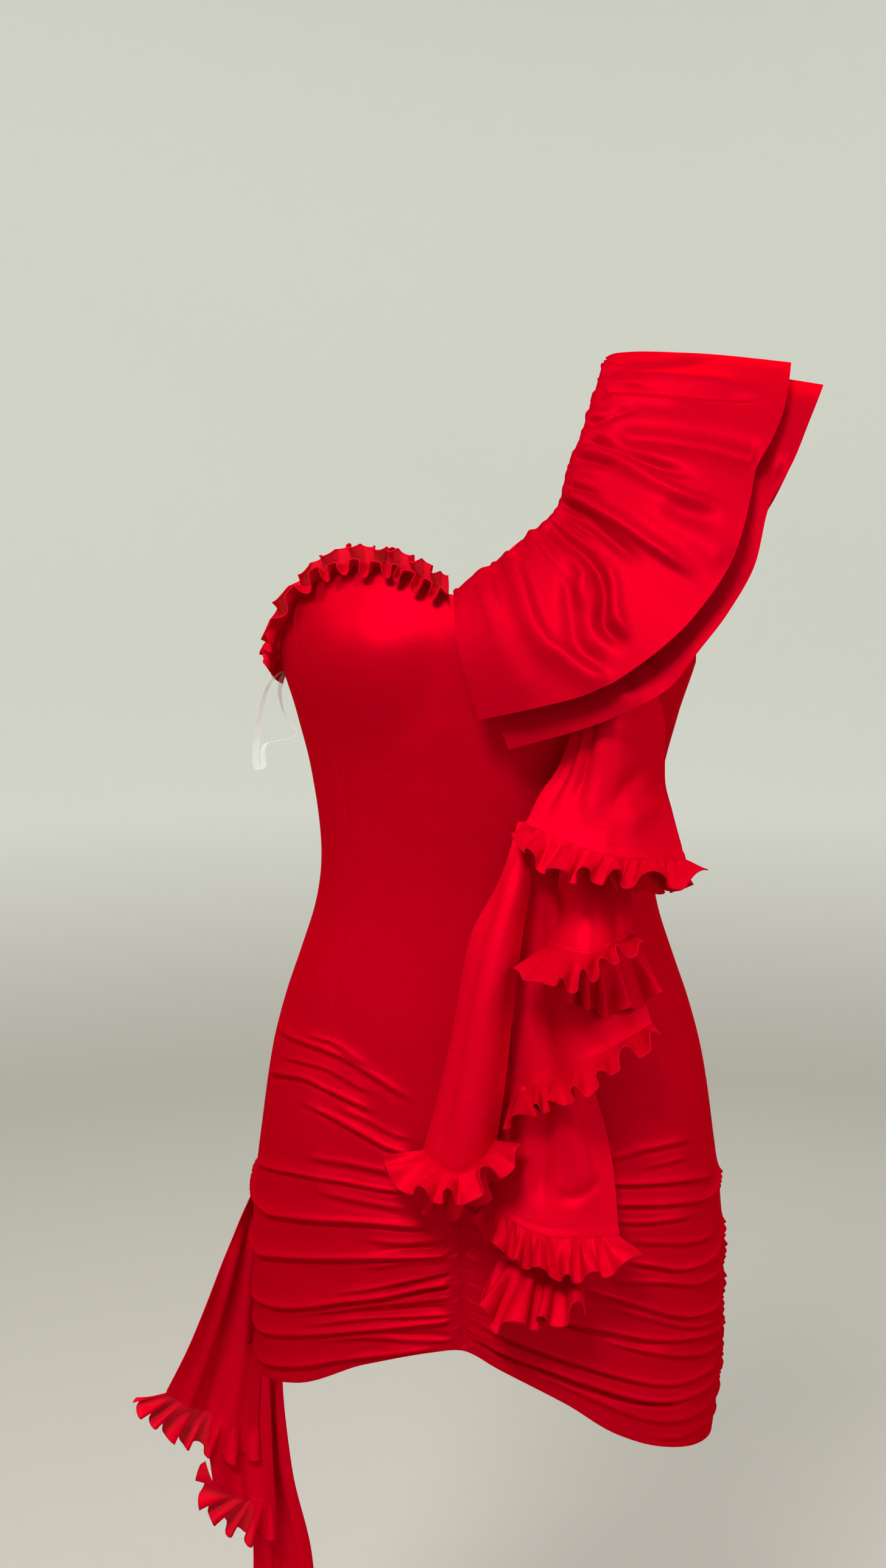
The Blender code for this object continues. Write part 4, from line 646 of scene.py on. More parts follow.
# Clear elastic loop at the right underarm: its route as x, out and height, in tenths of a mm
HANGER_ROUTE = (
    (-1560, 80, 1520), (-1620, 140, 1480), (-1680, 150, 1400), (-1715, 160, 1300), (-1740, 160, 1200),
    (-1765, 150, 1080), (-1785, 140, 950), (-1790, 140, 830), (-1765, 140, 745), (-1725, 140, 790),
    (-1735, 140, 880), (-1700, 140, 955), (-1600, 140, 980), (-1490, 130, 1005), (-1465, 120, 1050),
    (-1520, 120, 1120), (-1575, 130, 1230), (-1595, 130, 1350), (-1580, 110, 1450), (-1545, 80, 1520),
)
HANGER_WIDTH = 0.0055
HANGER_POINTS = 200
HANGER_TWIST = 3.84
HANGER_LEAN = 0.2

# Sizes that the pieces are cut to: width and length in mm, and area in square centimetres
CUTS = {
    "front_side_right": (140, 720, 780),
    "front_centre": (270, 740, 1100),
    "front_left": (255, 745, 1430),
    "back": (516, 810, 3400),
    "shoulder_front": (95, 178, 105),
    "shoulder_back": (96, 186, 110),
    "collar_ruffle_under": (143, 690, 985),
    "collar_ruffle_top": (129, 730, 940),
    "neckline_frill_upper": (15, 630, 94),
    "neckline_frill_lower": (12, 666, 79),
    "flounce_fold_1": (146, 108, 157),
    "flounce_fold_2": (95, 59, 56),
    "flounce_fold_3": (159, 71, 112),
    "flounce_fold_4": (249, 56, 138),
    "flounce_fold_5": (143, 82, 117),
    "flounce_fold_6": (46, 53, 24),
    "flounce_frill_1a": (25, 207, 51),
    "flounce_frill_1b": (28, 117, 32),
    "flounce_frill_2a": (38, 124, 47),
    "flounce_frill_2b": (41, 133, 54),
    "flounce_frill_3a": (32, 181, 57),
    "flounce_frill_4a": (25, 164, 41),
    "flounce_frill_4b": (36, 137, 49),
    "flounce_frill_5a": (24, 180, 43),
    "flounce_frill_6a": (40, 134, 53),
    "train_fold_1": (208, 62, 128),
    "train_fold_2": (161, 45, 72),
    "train_fold_3": (395, 56, 221),
    "train_frill_1": (29, 189, 54),
    "train_frill_2": (28, 151, 42),
    "train_frill_3": (22, 175, 38),
}

# Mesh density
PANEL_STEP = 0.0040
STEPS_BESIDE_SEAM = (0.0007, 0.0009, 0.0012, 0.0016)
RUCHED_ROWS = 250
ROWS_TO_HEM = 0.96
PLAIN_ROWS = 74
TOP_ROUNDS = 60
RUCHING_TOP = -0.115
STRAP_ROWS = 48
STRAP_COLUMNS = 24
COLLAR_COLUMNS = 400
COLLAR_ROWS = 48
NECKLINE_COLUMNS = 860
FRILL_ROWS = 11
CREASE_STEPS = 22
OVERLOCK_RADIUS = 0.00055
OVERLOCK_SIDES = 5

# Room, light and camera
FLOOR_HEIGHT = -1.08
ROOM_RADIUS = 4.2
ROOM_SIDES = 96
COVE = 1.2
COVE_START = 0.1
COVE_STEPS = 12
WALL_TOPS = (3.0, 6.5)
WALL_PAINT = (0.710, 0.722, 0.672)
FLOOR_PAINT = (0.470, 0.448, 0.406)
SHADE_HEIGHTS = (0.02, 0.60)
WORLD_COLOUR = (0.96, 0.98, 1.0, 1.0)
WORLD_STRENGTH = 0.13
# Lights: name, place, target, size, power
LIGHTS = (
    ("key_light", (-0.42, -2.10, 1.75), (-0.08, 0.0, -0.05), 0.85, 80.0),
    ("left_light", (-1.9, -0.7, 1.3), (-0.1, 0.0, -0.25), 0.7, 15.0),
    ("right_light", (1.7, -0.6, 0.6), (-0.1, 0.0, -0.45), 0.7, 12.0),
    ("back_light", (0.3, 1.7, 1.9), (-0.1, 0.0, -0.35), 1.1, 30.0),
)
WALL_LIGHTS = 4
WALL_LIGHT_RADIUS = 1.3
WALL_LIGHT_HEIGHT = 2.3
WALL_LIGHT_DROP = 6.6
WALL_LIGHT_TURN = 45.0
WALL_LIGHT_AIM = 3.0
WALL_LIGHT_SIZE = 1.6
WALL_LIGHT_POWER = 30.0
# Camera: place in the body's frame, turn, pitch, lens and sensor
CAMERA_PLACE = (0.1759, -1.1875, 0.20)
CAMERA_TURN = 10.0
CAMERA_PITCH = 6.4
CAMERA_LENS = 36.06
CAMERA_SENSOR = 36.0

chance = np.random.default_rng(7)


class Curve:
    """A smooth curve through rows whose first column increases, with no overshoot between rows."""

    def __init__(self, rows):
        data = np.array(sorted(rows), float)
        self.at, self.values = data[:, 0], data[:, 1:]
        rise = np.diff(self.values, axis=0) / np.diff(self.at)[:, None]
        before, after = rise[:-1], rise[1:]
        total = np.where(before * after > 0, before + after, 1.0)
        inner = np.where(before * after > 0, 2 * before * after / total, 0.0)
        self.slope = np.vstack([rise[:1], inner, rise[-1:]])

    def __call__(self, at):
        at = np.clip(np.asarray(at, float), self.at[0], self.at[-1])
        k = np.clip(np.searchsorted(self.at, at) - 1, 0, len(self.at) - 2)
        step = self.at[k + 1] - self.at[k]
        t = ((at - self.at[k]) / step)[..., None]
        step = step[..., None]
        value = (
            (2 * t**3 - 3 * t**2 + 1) * self.values[k] + (t**3 - 2 * t**2 + t) * step * self.slope[k]
            + (3 * t**2 - 2 * t**3) * self.values[k + 1] + (t**3 - t**2) * step * self.slope[k + 1]
        )
        return value[..., 0] if value.shape[-1] == 1 else value


def through(points, count):
    """A smooth curve through points, as count points at even steps from the first to the last."""
    line = Curve([(k, *point) for k, point in enumerate(points)])
    return line(np.linspace(0.0, len(points) - 1.0, count))


def parts(unit, rows):
    """Rows of whole numbers as the fractions that they count."""
    return [[value / unit for value in row] for row in rows]


def ease(low, high, value):
    """0 below low, 1 above high, and smooth between."""
    t = np.clip((np.asarray(value, float) - low) / (high - low), 0.0, 1.0)
    return t * t * (3 - 2 * t)


def between(start, full, last, end, value):
    """0 below start, 1 from full to last, 0 above end, and smooth between."""
    return ease(start, full, value) * (1 - ease(last, end, value))


def faded(at, first, last, fade_in, fade_out):
    """1 from first to last, but for a fade at each end that has one."""
    rise = ease(first, first + fade_in, at) if fade_in else 1.0
    fall = 1 - ease(last - fade_out, last, at) if fade_out else 1.0
    return rise * fall


def peak(distance, width, power=2):
    return np.exp(-((distance / width) ** power))


def mix(a, b, share):
    return a + (b - a) * share


def unit(vectors):
    return vectors / np.maximum(np.linalg.norm(vectors, axis=-1, keepdims=True), 1e-12)


def added(steps):
    """Lengths from the start, 0 first, of a line with these steps."""
    return np.concatenate([[0.0], np.cumsum(steps)])


def lengths(points, axis=0):
    return np.linalg.norm(np.diff(points, axis=axis), axis=-1)


figure = Curve(FIGURE)
shoulder = Curve(SHOULDER)
hem = Curve(HEM)
collar_seam = Curve(COLLAR_SEAM)
princess_seam = Curve(RIGHT_PRINCESS_SEAM)
flounce_seam = Curve(FLOUNCE_SEAM)
strapless_edge = Curve(STRAPLESS_EDGE)
back_edge = Curve(BACK_EDGE)
strap_neck_side = Curve(STRAP_NECK_SIDE)
strap_arm_side = Curve(STRAP_ARM_SIDE)


# The outer face of the body

def eased_figure(height):
    """The figure's half width and depths, with the waist as a soft curve."""
    height = np.asarray(height, float)
    near = between(*WAIST_ZONE, height)
    return sum(share * figure(height + place * near) for place, share in WAIST_EASING)


def torso(angle, height):
    """Points of the figure's surface, with its cups."""
    half, front, back = np.moveaxis(eased_figure(height), -1, 0)
    side, ahead = np.sin(np.radians(angle)), np.cos(np.radians(angle))
    deep = np.where(ahead > 0, front, back)
    reach = (np.abs(side / half) ** ROUNDNESS + np.abs(ahead / deep) ** ROUNDNESS) ** (-1 / ROUNDNESS)
    x, y = reach * side, -reach * ahead
    cups = 0.0
    for cup_x in (-CUP_X, CUP_X):
        away = ((x - cup_x) ** 2 + (height - CUP_HEIGHT) ** 2) / CUP_RADIUS**2
        cups = cups + np.where((ahead > 0) & (away < 1), CUP_DEPTH * (1 - np.minimum(away, 1.0)) ** 2, 0.0)
    return np.stack([x, y - cups, height + 0 * x], axis=-1)


def surface(angle, run):
    """Points of the cloth's outer face. Left of the neck, the run goes on over the shoulder."""
    angle, run = np.broadcast_arrays(np.asarray(angle, float), np.asarray(run, float))
    on_front = angle <= SIDE
    from_front = np.where(on_front, angle, 180.0 - angle)
    on_strap = ease(*STRAP_BLEND, from_front)
    plain = torso(angle, run)
    front, back, height = np.moveaxis(shoulder(run), -1, 0)
    point = torso(angle, np.minimum(run, FIGURE_TOP))
    past_neck = from_front - STRAP_NECK_ANGLE
    taper = 1 - STRAP_TAPER_PER_DEGREE * np.maximum(past_neck, 0.0)
    out_y = taper * np.where(on_front, -front, back)
    ridge_x = STRAP_NECK_X + STRAP_X_PER_DEGREE * past_neck
    x = mix(point[..., 0], ridge_x, ease(*X_BLEND, run) * on_strap)
    y = mix(point[..., 1], out_y, ease(*Y_BLEND, run) * on_strap)
    slope = SHOULDER_SLOPE * (x - SHOULDER_MIDDLE_X) * ease(*SLOPE_BLEND, run)
    over = np.stack([x, y, height - slope], axis=-1)
    return np.where(((run <= CHEST) | (on_strap == 0))[..., None], plain, over)


def upward(angle, run):
    return surface(angle, run + RUN_STEP) - surface(angle, run - RUN_STEP)


def normal(angle, run):
    across = surface(angle + ANGLE_STEP, run) - surface(angle - ANGLE_STEP, run)
    return unit(np.cross(across, upward(angle, run)))


def bump(distance, above, below):
    """A fold, 1 at distance 0: a long slope above its crest, a steep drop below it and a narrow dip."""
    slope = 0.50 * peak(distance, above) + 0.50 * peak(distance, CREST * above)
    drop = peak(distance, DROP * below)
    return np.where(distance > 0, slope, drop) - DIP[0] * peak(distance + DIP[1] * below, DIP[2] * below)


def crease_line(row):
    """The head of a crease's row, the curve of its line, and its first and last angle."""
    line = (np.reshape(row[5:], (-1, 2)) / (1, -10000)).tolist()
    return row[:5], Curve(line), line[0][0], line[-1][0]


def drawn(pick, spans):
    return [pick.uniform(low, high) for low, high in spans]


def channel_gather(k):
    """Height, size, width, reach in degrees and tilt of a gather beside the shirred channel."""
    share = (k + 0.5 + CHANNEL_GATHER_STRAY * (chance.random() - 0.5)) / CHANNEL_GATHERS
    return (CHANNEL_BOTTOM + share * (CHANNEL_TOP - CHANNEL_BOTTOM), *drawn(chance, CHANNEL_GATHER_SPANS))


crease_lines = [crease_line(row) for row in CREASES]
channel_gathers = [channel_gather(k) for k in range(CHANNEL_GATHERS)]


def arc(angle, at, radius):
    """Length of the arc between two angles."""
    return np.abs(angle - at) * math.radians(1.0) * radius


def ruching(angle, height):
    """How far the ruched cloth stands from the figure."""
    raised = np.zeros(np.broadcast(angle, height).shape)
    for (high, above, below, fade_in, fade_out), line, first, last in crease_lines:
        on = (angle >= first - 1e-6) & (angle <= last + 1e-6)
        size = np.where(on, faded(angle, first, last, fade_in, fade_out), 0.0) * high / 1000 * CREASE_STRENGTH
        away = height - line(angle)
        if high > 0:
            raised += size * bump(away, above / 1000, below / 1000)
        else:
            raised += size * peak(away / np.where(away > 0, above, below) * 1000, 1.0)
    # side seams: the folds are caught in them
    zone = 1 - ease(*SIDE_ZONE, height)
    for seam in (-SIDE, SIDE, RIGHT_SIDE_OF_BACK):
        away = arc(angle, seam, SIDE_RADIUS)
        raised = raised * (1 - SIDE_HOLD[0] * zone * peak(away, SIDE_HOLD[1]))
        raised -= SIDE_DIP[0] * zone * peak(away, SIDE_DIP[1])
    # centre front: a flat shirred channel with small gathers on both sides
    away = arc(angle, CHANNEL_ANGLE, CHANNEL_RADIUS)
    zone = between(*CHANNEL_ZONE, height)
    caught = zone * peak(away, CHANNEL_HALF_WIDTH, 4)
    raised = raised * (1 - CHANNEL_HOLD * caught) - CHANNEL_DEPTH * zone * peak(away, CHANNEL_DIP_WIDTH)
    beside = ease(0.0, CHANNEL_GATHER_START, np.abs(angle - CHANNEL_ANGLE))
    for place, size, wide, reach, tilt in channel_gathers:
        line = place - CHANNEL_GATHER_DROOP * np.abs(angle) * (1 + tilt)
        length = reach * np.where(angle > CHANNEL_ANGLE, 1.0, CHANNEL_GATHER_ON_RIGHT)
        shape = beside * peak(angle, length) + CHANNEL_GATHER_INSIDE * caught
        raised += zone * CHANNEL_GATHER_HEIGHT * size * shape * peak(height - line, wide)
    return raised * ease(0.0, HEM_CALM, height - hem(angle)) ** 0.5


def seam_groove(angle, height):
    """The slight groove of the princess seam and the side seams above the ruching."""
    half = figure(height)[..., 0]
    (depth, width), (lip_height, lip_distance, lip_width) = GROOVE, GROOVE_LIP
    groove = 0.0
    for line, (top, bottom) in (
        (princess_seam(height), PRINCESS_GROOVE), (-SIDE, SIDE_GROOVE), (SIDE, SIDE_GROOVE),
        (RIGHT_SIDE_OF_BACK, SIDE_GROOVE),
    ):
        away = arc(angle, line, half) * GROOVE_ARC
        zone = between(bottom - GROOVE_FADE, bottom + GROOVE_FADE, top, top + GROOVE_TOP_FADE, height)
        lip = lip_height * zone * peak(away - lip_distance, lip_width)
        groove = groove - depth * zone * peak(away, width) + lip
    return groove


def dress_point(angle, run):
    """Points of the finished outer face, with its folds."""
    raised = ruching(angle, run) + seam_groove(angle, run)
    return surface(angle, run) + normal(angle, run) * raised[..., None]


# Meshes

def grid_normals(grid):
    return unit(np.cross(np.gradient(grid, axis=1), np.gradient(grid, axis=0)))


def grid_uv(grid):
    """Places in metres along and across a grid of rows and columns."""
    u = added(lengths(grid, 1).mean(axis=0))
    v = added(lengths(grid, 0).mean(axis=1))
    return np.stack(np.meshgrid(u, v), axis=-1).reshape(-1, 2)


def new_object(name, points, faces, material, uv=None, border=None):
    """A smooth mesh object. uv holds a place for each point, and edges between border points are crisp."""
    mesh = bpy.data.meshes.new(name)
    mesh.from_pydata(points.tolist(), [], faces)
    mesh.polygons.foreach_set("use_smooth", np.ones(len(faces), bool))
    if uv is not None:
        corner = np.zeros(len(mesh.loops), np.int32)
        mesh.loops.foreach_get("vertex_index", corner)
        mesh.uv_layers.new(name="UVMap").data.foreach_set("uv", uv[corner].astype(np.float32).ravel())
    if border is not None:
        pairs = np.zeros(len(mesh.edges) * 2, np.int32)
        mesh.edges.foreach_get("vertices", pairs)
        sharp = border[pairs.reshape(-1, 2)].all(axis=1)
        mesh.attributes.new("sharp_edge", "BOOLEAN", "EDGE").data.foreach_set("value", sharp)
    mesh.update()
    mesh.materials.append(material)
    item = bpy.data.objects.new(name, mesh)
    bpy.context.scene.collection.objects.link(item)
    return item


def shell(name, outer, inner, material):
    """A thin closed shell between two grids, with smooth faces, crisp rims and UVs in metres."""
    rows, columns = outer.shape[:2]
    count = rows * columns
    points = np.concatenate([outer.reshape(-1, 3), inner.reshape(-1, 3)]) - ORIGIN
    index = np.arange(count).reshape(rows, columns)
    front = np.stack([index[:-1, :-1], index[:-1, 1:], index[1:, 1:], index[1:, :-1]], axis=-1).reshape(-1, 4)
    faces = [front, front[:, ::-1] + count]
    for rim in (index[0], index[-1][::-1], index[:, 0][::-1], index[:, -1]):
        faces.append(np.stack([rim[1:], rim[:-1], rim[:-1] + count, rim[1:] + count], axis=-1))
    border = np.zeros((rows, columns), bool)
    border[[0, -1], :] = border[:, [0, -1]] = True
    both = np.tile(grid_uv(outer), (2, 1)), np.tile(border.ravel(), 2)
    return new_object(name, points, np.concatenate(faces).tolist(), material, *both)


def cloth_shell(name, grid, thickness, material):
    half = grid_normals(grid) * thickness / 2
    return shell(name, grid + half, grid - half, material)


def tube(name, path, radius, material, sides):
    """A round cord along a path."""
    ahead = unit(np.gradient(path, axis=0))
    first = unit(np.cross(ahead, np.array([0.0, 0.0, 1.0])) + 1e-9)
    second = unit(np.cross(ahead, first))
    turn = np.arange(sides) / sides * 2 * math.pi
    cosine, sine = np.cos(turn)[None, :, None], np.sin(turn)[None, :, None]
    ring = path[:, None] + radius * (cosine * first[:, None] + sine * second[:, None])
    index = np.arange(len(path) * sides).reshape(-1, sides)
    a, b = index[:-1], index[1:]
    faces = np.stack([a, np.roll(a, -1, 1), np.roll(b, -1, 1), b], axis=-1).reshape(-1, 4).tolist()
    faces += [index[0][::-1].tolist(), index[-1].tolist()]
    uv = np.stack(np.meshgrid(turn * radius, added(lengths(path))), axis=-1).reshape(-1, 2)[:, ::-1]
    return new_object(name, ring.reshape(-1, 3) - ORIGIN, faces, material, uv)


# Materials

def set_values(tree, node, *ordered, **named):
    """Sets a node's inputs and settings. A value that is a socket is linked to its input."""
    for key, value in (*enumerate(ordered), *named.items()):
        place = key if isinstance(key, int) else key.replace("_", " ")
        if isinstance(place, str) and place not in node.inputs:
            setattr(node, key, value)
        elif isinstance(value, bpy.types.NodeSocket):
            tree.links.new(value, node.inputs[place])
        else:
            node.inputs[place].default_value = value
    return node


def add_node(tree, kind, *ordered, **named):
    return set_values(tree, tree.nodes.new("ShaderNode" + kind), *ordered, **named)


def new_material(name, base, roughness, **values):
    material = bpy.data.materials.new(name)
    material.use_nodes = True
    tree = material.node_tree
    shader = tree.nodes["Principled BSDF"]
    set_values(tree, shader, Base_Color=(*base, 1.0), Roughness=roughness, **values)
    return material, tree, shader


def colour_ramp(tree, value, *stops):
    node = add_node(tree, "ValToRGB", Fac=value)
    for element, (position, colour) in zip(node.color_ramp.elements, stops):
        element.position, element.color = position, (*colour, 1.0)
    return node.outputs["Color"]


def relief(tree, height, strength, distance):
    return add_node(tree, "Bump", Height=height, Strength=strength, Distance=distance).outputs["Normal"]


def bands(tree, place, direction, **values):
    node = add_node(tree, "TexWave", Vector=place, wave_type="BANDS", bands_direction=direction, **values)
    return node.outputs["Fac"]


def cloth_material(name, base, dark, roughness, satin, weave, weave_depth, slub, alpha=1.0):
    """Dyed cloth: fine rows both ways as bump, faint slubs and shade changes, and a red satin gleam."""
    material, tree, shader = new_material(
        name, base, roughness, Metallic=satin, Specular_IOR_Level=0.0, Specular_Tint=(1.0, 0.0, 0.05, 1.0),
        Alpha=alpha,
    )
    uv = add_node(tree, "TexCoord").outputs["UV"]
    # shade changes
    patches = add_node(tree, "TexNoise", Vector=uv, Scale=9.0, Detail=3.0, Roughness=0.6).outputs["Fac"]
    stretched = add_node(tree, "Mapping", Vector=uv, Scale=(slub, slub * 9.0, 1.0)).outputs["Vector"]
    slubs = add_node(tree, "TexNoise", Vector=stretched, Scale=1.0, Detail=2.0, Roughness=0.5).outputs["Fac"]
    half = add_node(tree, "Math", patches, 0.5, operation="MULTIPLY").outputs["Value"]
    both = add_node(tree, "Math", slubs, 0.5, half, operation="MULTIPLY_ADD").outputs["Value"]
    # weave or knit rows
    rows = [bands(tree, uv, direction, Scale=0.5 / weave, Distortion=0.6, Detail=1.0) for direction in "XY"]
    cross = add_node(tree, "Math", *rows, operation="MULTIPLY").outputs["Value"]
    height = add_node(tree, "Math", cross, 0.8, slubs, operation="MULTIPLY_ADD").outputs["Value"]
    # roughness follows the shade a little
    rough = add_node(tree, "MapRange", Value=patches, To_Min=roughness - 0.06, To_Max=roughness + 0.08)
    set_values(
        tree, shader, Base_Color=colour_ramp(tree, both, (0.30, dark), (0.66, base)),
        Normal=relief(tree, height, strength=0.6, distance=weave_depth), Roughness=rough.outputs["Result"],
    )
    return material


def thread_material(name, base, dark, pitch):
    """Overlock stitches: short slanting threads side by side along an edge, with painted shade in the gaps between
    them.
    """
    material, tree, shader = new_material(
        name, base, roughness=0.42, Specular_Tint=(1.0, 0.3, 0.3, 1.0), Specular_IOR_Level=0.0,
    )
    uv = add_node(tree, "TexCoord").outputs["UV"]
    slant = add_node(tree, "Mapping", Vector=uv, Rotation=(0.0, 0.0, 0.6)).outputs["Vector"]
    wave = bands(tree, slant, "X", Scale=0.5 / pitch, Distortion=0.4)
    # painted shade: the dark colour darkens the gaps between the threads
    stitch_colour_gap_shade = colour_ramp(tree, wave, (0.15, dark), (0.6, base))
    set_values(tree, shader, Base_Color=stitch_colour_gap_shade, Normal=relief(tree, wave, strength=0.8, distance=0.0003))
    return material


def elastic_material():
    material, tree, shader = new_material(
        "clear_elastic", (0.86, 0.88, 0.88), roughness=0.12, Alpha=0.22, Specular_IOR_Level=1.0,
        Coat_Weight=0.6, Coat_Roughness=0.05,
    )
    uv = add_node(tree, "TexCoord").outputs["UV"]
    grain = add_node(tree, "TexNoise", Vector=uv, Scale=220.0, Detail=2.0).outputs["Fac"]
    set_values(tree, shader, Normal=relief(tree, grain, strength=0.35, distance=0.0006))
    return material


# Cloths: name, base and dark colour, roughness, satin, pitch and depth of the weave, slubs, and alpha
KNIT = cloth_material(
    "stretch_knit", (0.500, 0.000, 0.011), (0.430, 0.000, 0.008), 0.46, 0.46, 0.00055, 0.00006, 60.0,
)
CREPE = cloth_material(
    "ruffle_crepe", (0.640, 0.000, 0.015), (0.560, 0.000, 0.0115), 0.42, 0.34, 0.00045, 0.00007, 90.0,
)
# The collar's crepe is the flounce's crepe painted a shade darker: painted shade set against the key light, which
# falls stronger on the collar. Both take the slot ruffle_crepe.
COLLAR_CREPE_PAINTED_SHADE = cloth_material(
    "collar_crepe", (0.440, 0.000, 0.010), (0.385, 0.000, 0.008), 0.44, 0.34, 0.00045, 0.00007, 90.0,
)
FRILL = cloth_material(
    "frill_crepe", (0.600, 0.000, 0.013), (0.520, 0.000, 0.010), 0.46, 0.28, 0.00045, 0.00007, 90.0,
)
ORGANZA = cloth_material(
    "frill_sheer", (0.700, 0.000, 0.016), (0.600, 0.000, 0.012), 0.40, 0.10, 0.00040, 0.00006, 120.0, 0.91,
)
# The thread's dark colour is painted shade for the gaps between its stitches.
THREAD = thread_material("overlock_thread", (0.800, 0.004, 0.020), (0.420, 0.000, 0.010), 0.0012)
ELASTIC = elastic_material()


# Pieces

def finish_piece(item, nodes=(), slot="ruffle_crepe"):
    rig.ride(item, "root")
    if nodes:
        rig.replaces(item, *nodes)
    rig.slot(item, slot)
    return item


def declare(node, piece, held, extra=()):
    width, length, area = (size / unit for size, unit in zip(CUTS[node], (1000, 1000, 10000)))
    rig.sheet(piece, flat=(width, length), held=held, rests_on=[], area=area, with_pieces=list(extra))


def seam_shares(width):
    """Shares across a panel, closer together beside its two seams."""
    near = added(STEPS_BESIDE_SEAM) / width
    steps = max(2, int(round((1 - 2 * near[-1]) * width / PANEL_STEP)) + 1)
    return np.concatenate([near[:-1], np.linspace(near[-1], 1 - near[-1], steps), 1 - near[:-1][::-1]])


def top_run(edge, left, right, shares):
    """Run of a panel's upper edge at each share of its width."""
    top = np.full(len(shares), CHEST)
    for _ in range(TOP_ROUNDS):
        top = (top + edge(mix(left(top), right(top), shares))) / 2
    return top


def stretched_piece(node, face, out):
    piece = shell(node + "_cloth", face, face - out * BODY_CLOTH, KNIT)
    declare(node, piece, "stretched")
    return finish_piece(piece, [node], "stretch_knit")


def body_panel(node, left, right, edge, width):
    shares = seam_shares(width)
    top = top_run(edge, left, right, shares)
    low = np.linspace(0.0, 1.0, RUCHED_ROWS) ** ROWS_TO_HEM
    high = np.linspace(0.0, 1.0, PLAIN_ROWS)[1:]
    bottom = hem(mix(left(HEM_LEVEL), right(HEM_LEVEL), shares))
    runs = np.concatenate([
        mix(bottom[None, :], RUCHING_TOP, low[:, None]), mix(RUCHING_TOP, top[None, :], high[:, None]),
    ])
    angles = mix(left(runs), right(runs), shares[None, :])
    face = dress_point(angles, runs)
    out = grid_normals(face)
    # the line of stitches of the turned hem
    stitched = HEM_STITCHES[0] * peak((runs - bottom[None, :]) - HEM_TURNED, HEM_STITCHES[1])
    return stretched_piece(node, face - out * stitched[..., None], out)


def constant(value):
    return lambda run: np.full(np.shape(run), value)


def strap_half(node, back):
    runs = np.linspace(SHOULDER_SEAM, RIDGE, STRAP_ROWS)[:, None]
    shares = np.linspace(0.0, 1.0, STRAP_COLUMNS)[None, :]
    angles = mix(strap_neck_side(runs), strap_arm_side(runs), shares)
    if back:
        angles = 180.0 - mix(strap_arm_side(runs), strap_neck_side(runs), shares)
    face = surface(angles, runs + 0 * angles)
    return stretched_piece(node, face, grid_normals(face))


def collar_ends(share, edge_rows, lift):
    """The seam point and the free edge's point of a collar layer at each share."""
    on_front = share <= 1.0
    way = np.where(on_front, share, 2.0 - share)
    angle, run = np.moveaxis(collar_seam(way), -1, 0)
    angle = np.where(on_front, angle, 180.0 - angle)
    x, out, height = np.moveaxis(Curve(parts(10000, edge_rows))(way), -1, 0)
    start = surface(angle, run) + normal(angle, run) * lift
    return way, start, np.stack([x, np.where(on_front, -out, out * COLLAR_BACK_SHARE), height], axis=-1)


def collar_base(edge_rows, lift, arch):
    """A collar layer without its folds, the direction out of it, and its shares."""
    share = np.linspace(0.0, 2.0, COLLAR_COLUMNS)
    across = np.linspace(1.0, 0.0, COLLAR_ROWS)[:, None]
    way, start, end = collar_ends(share, edge_rows, lift)
    plain = mix(start[None], end[None], across[..., None])
    out = unit(np.cross((end - start)[None] + 0 * plain, np.gradient(plain, axis=1)))
    over = mix(1.0, COLLAR_ARCH_AT_SHOULDER, ease(*SHOULDER_WAY, way))
    rise = arch * np.sin(math.pi * across**COLLAR_ARCH_SKEW) * over[None]
    return plain + out * rise[..., None], out, share[None], across


def on_grid(grid, column_share, row_share):
    """Points of a grid at shares of its columns and its rows."""
    c = np.clip(np.asarray(column_share, float), 0.0, 1.0) * (grid.shape[1] - 1)
    r = np.clip(np.asarray(row_share, float), 0.0, 1.0) * (grid.shape[0] - 1)
    c0, r0 = np.minimum(c.astype(int), grid.shape[1] - 2), np.minimum(r.astype(int), grid.shape[0] - 2)
    fc, fr = (c - c0)[:, None], (r - r0)[:, None]
    return (
        grid[r0, c0] * (1 - fc) * (1 - fr) + grid[r0, c0 + 1] * fc * (1 - fr)
        + grid[r0 + 1, c0] * (1 - fc) * fr + grid[r0 + 1, c0 + 1] * fc * fr
    )


def unpacked(rows):
    """Rows of a table of folds, each with its line as points."""
    return [(*row[:5], (np.reshape(row[5:], (-1, 2)) / 1000).tolist()) for row in rows]


def creased(grid, creases):
    """How far each point of a grid stands out along its creases, whose lines are column and row shares."""
    points = grid.reshape(-1, 3)
    aside = np.gradient(grid, axis=1).reshape(-1, 3)
    pick = np.arange(len(points))
    rise = np.zeros(len(points))
    for high, before, after, fade_in, fade_out, line in creases:
        path = on_grid(grid, *through(line, CREASE_STEPS).T)
        length = added(lengths(path))
        start, way = path[:-1], np.diff(path, axis=0)
        offset = points[:, None, :] - start[None]
        squared = np.maximum((way**2).sum(axis=1), 1e-12)
        at = np.clip((offset * way[None]).sum(axis=2) / squared[None], 0.0, 1.0)
        away = offset - at[..., None] * way[None]
        distance = np.linalg.norm(away, axis=2)
        nearest = distance.argmin(axis=1)
        distance, at, away = distance[pick, nearest], at[pick, nearest], away[pick, nearest]
        share = mix(length[nearest], length[nearest + 1], at) / length[-1]
        width = np.where((away * aside).sum(axis=1) > 0, after, before) / 1000
        rise += high / 1000 * faded(share, 0.0, 1.0, fade_in, fade_out) * peak(distance, width)
    return rise.reshape(grid.shape[:2])


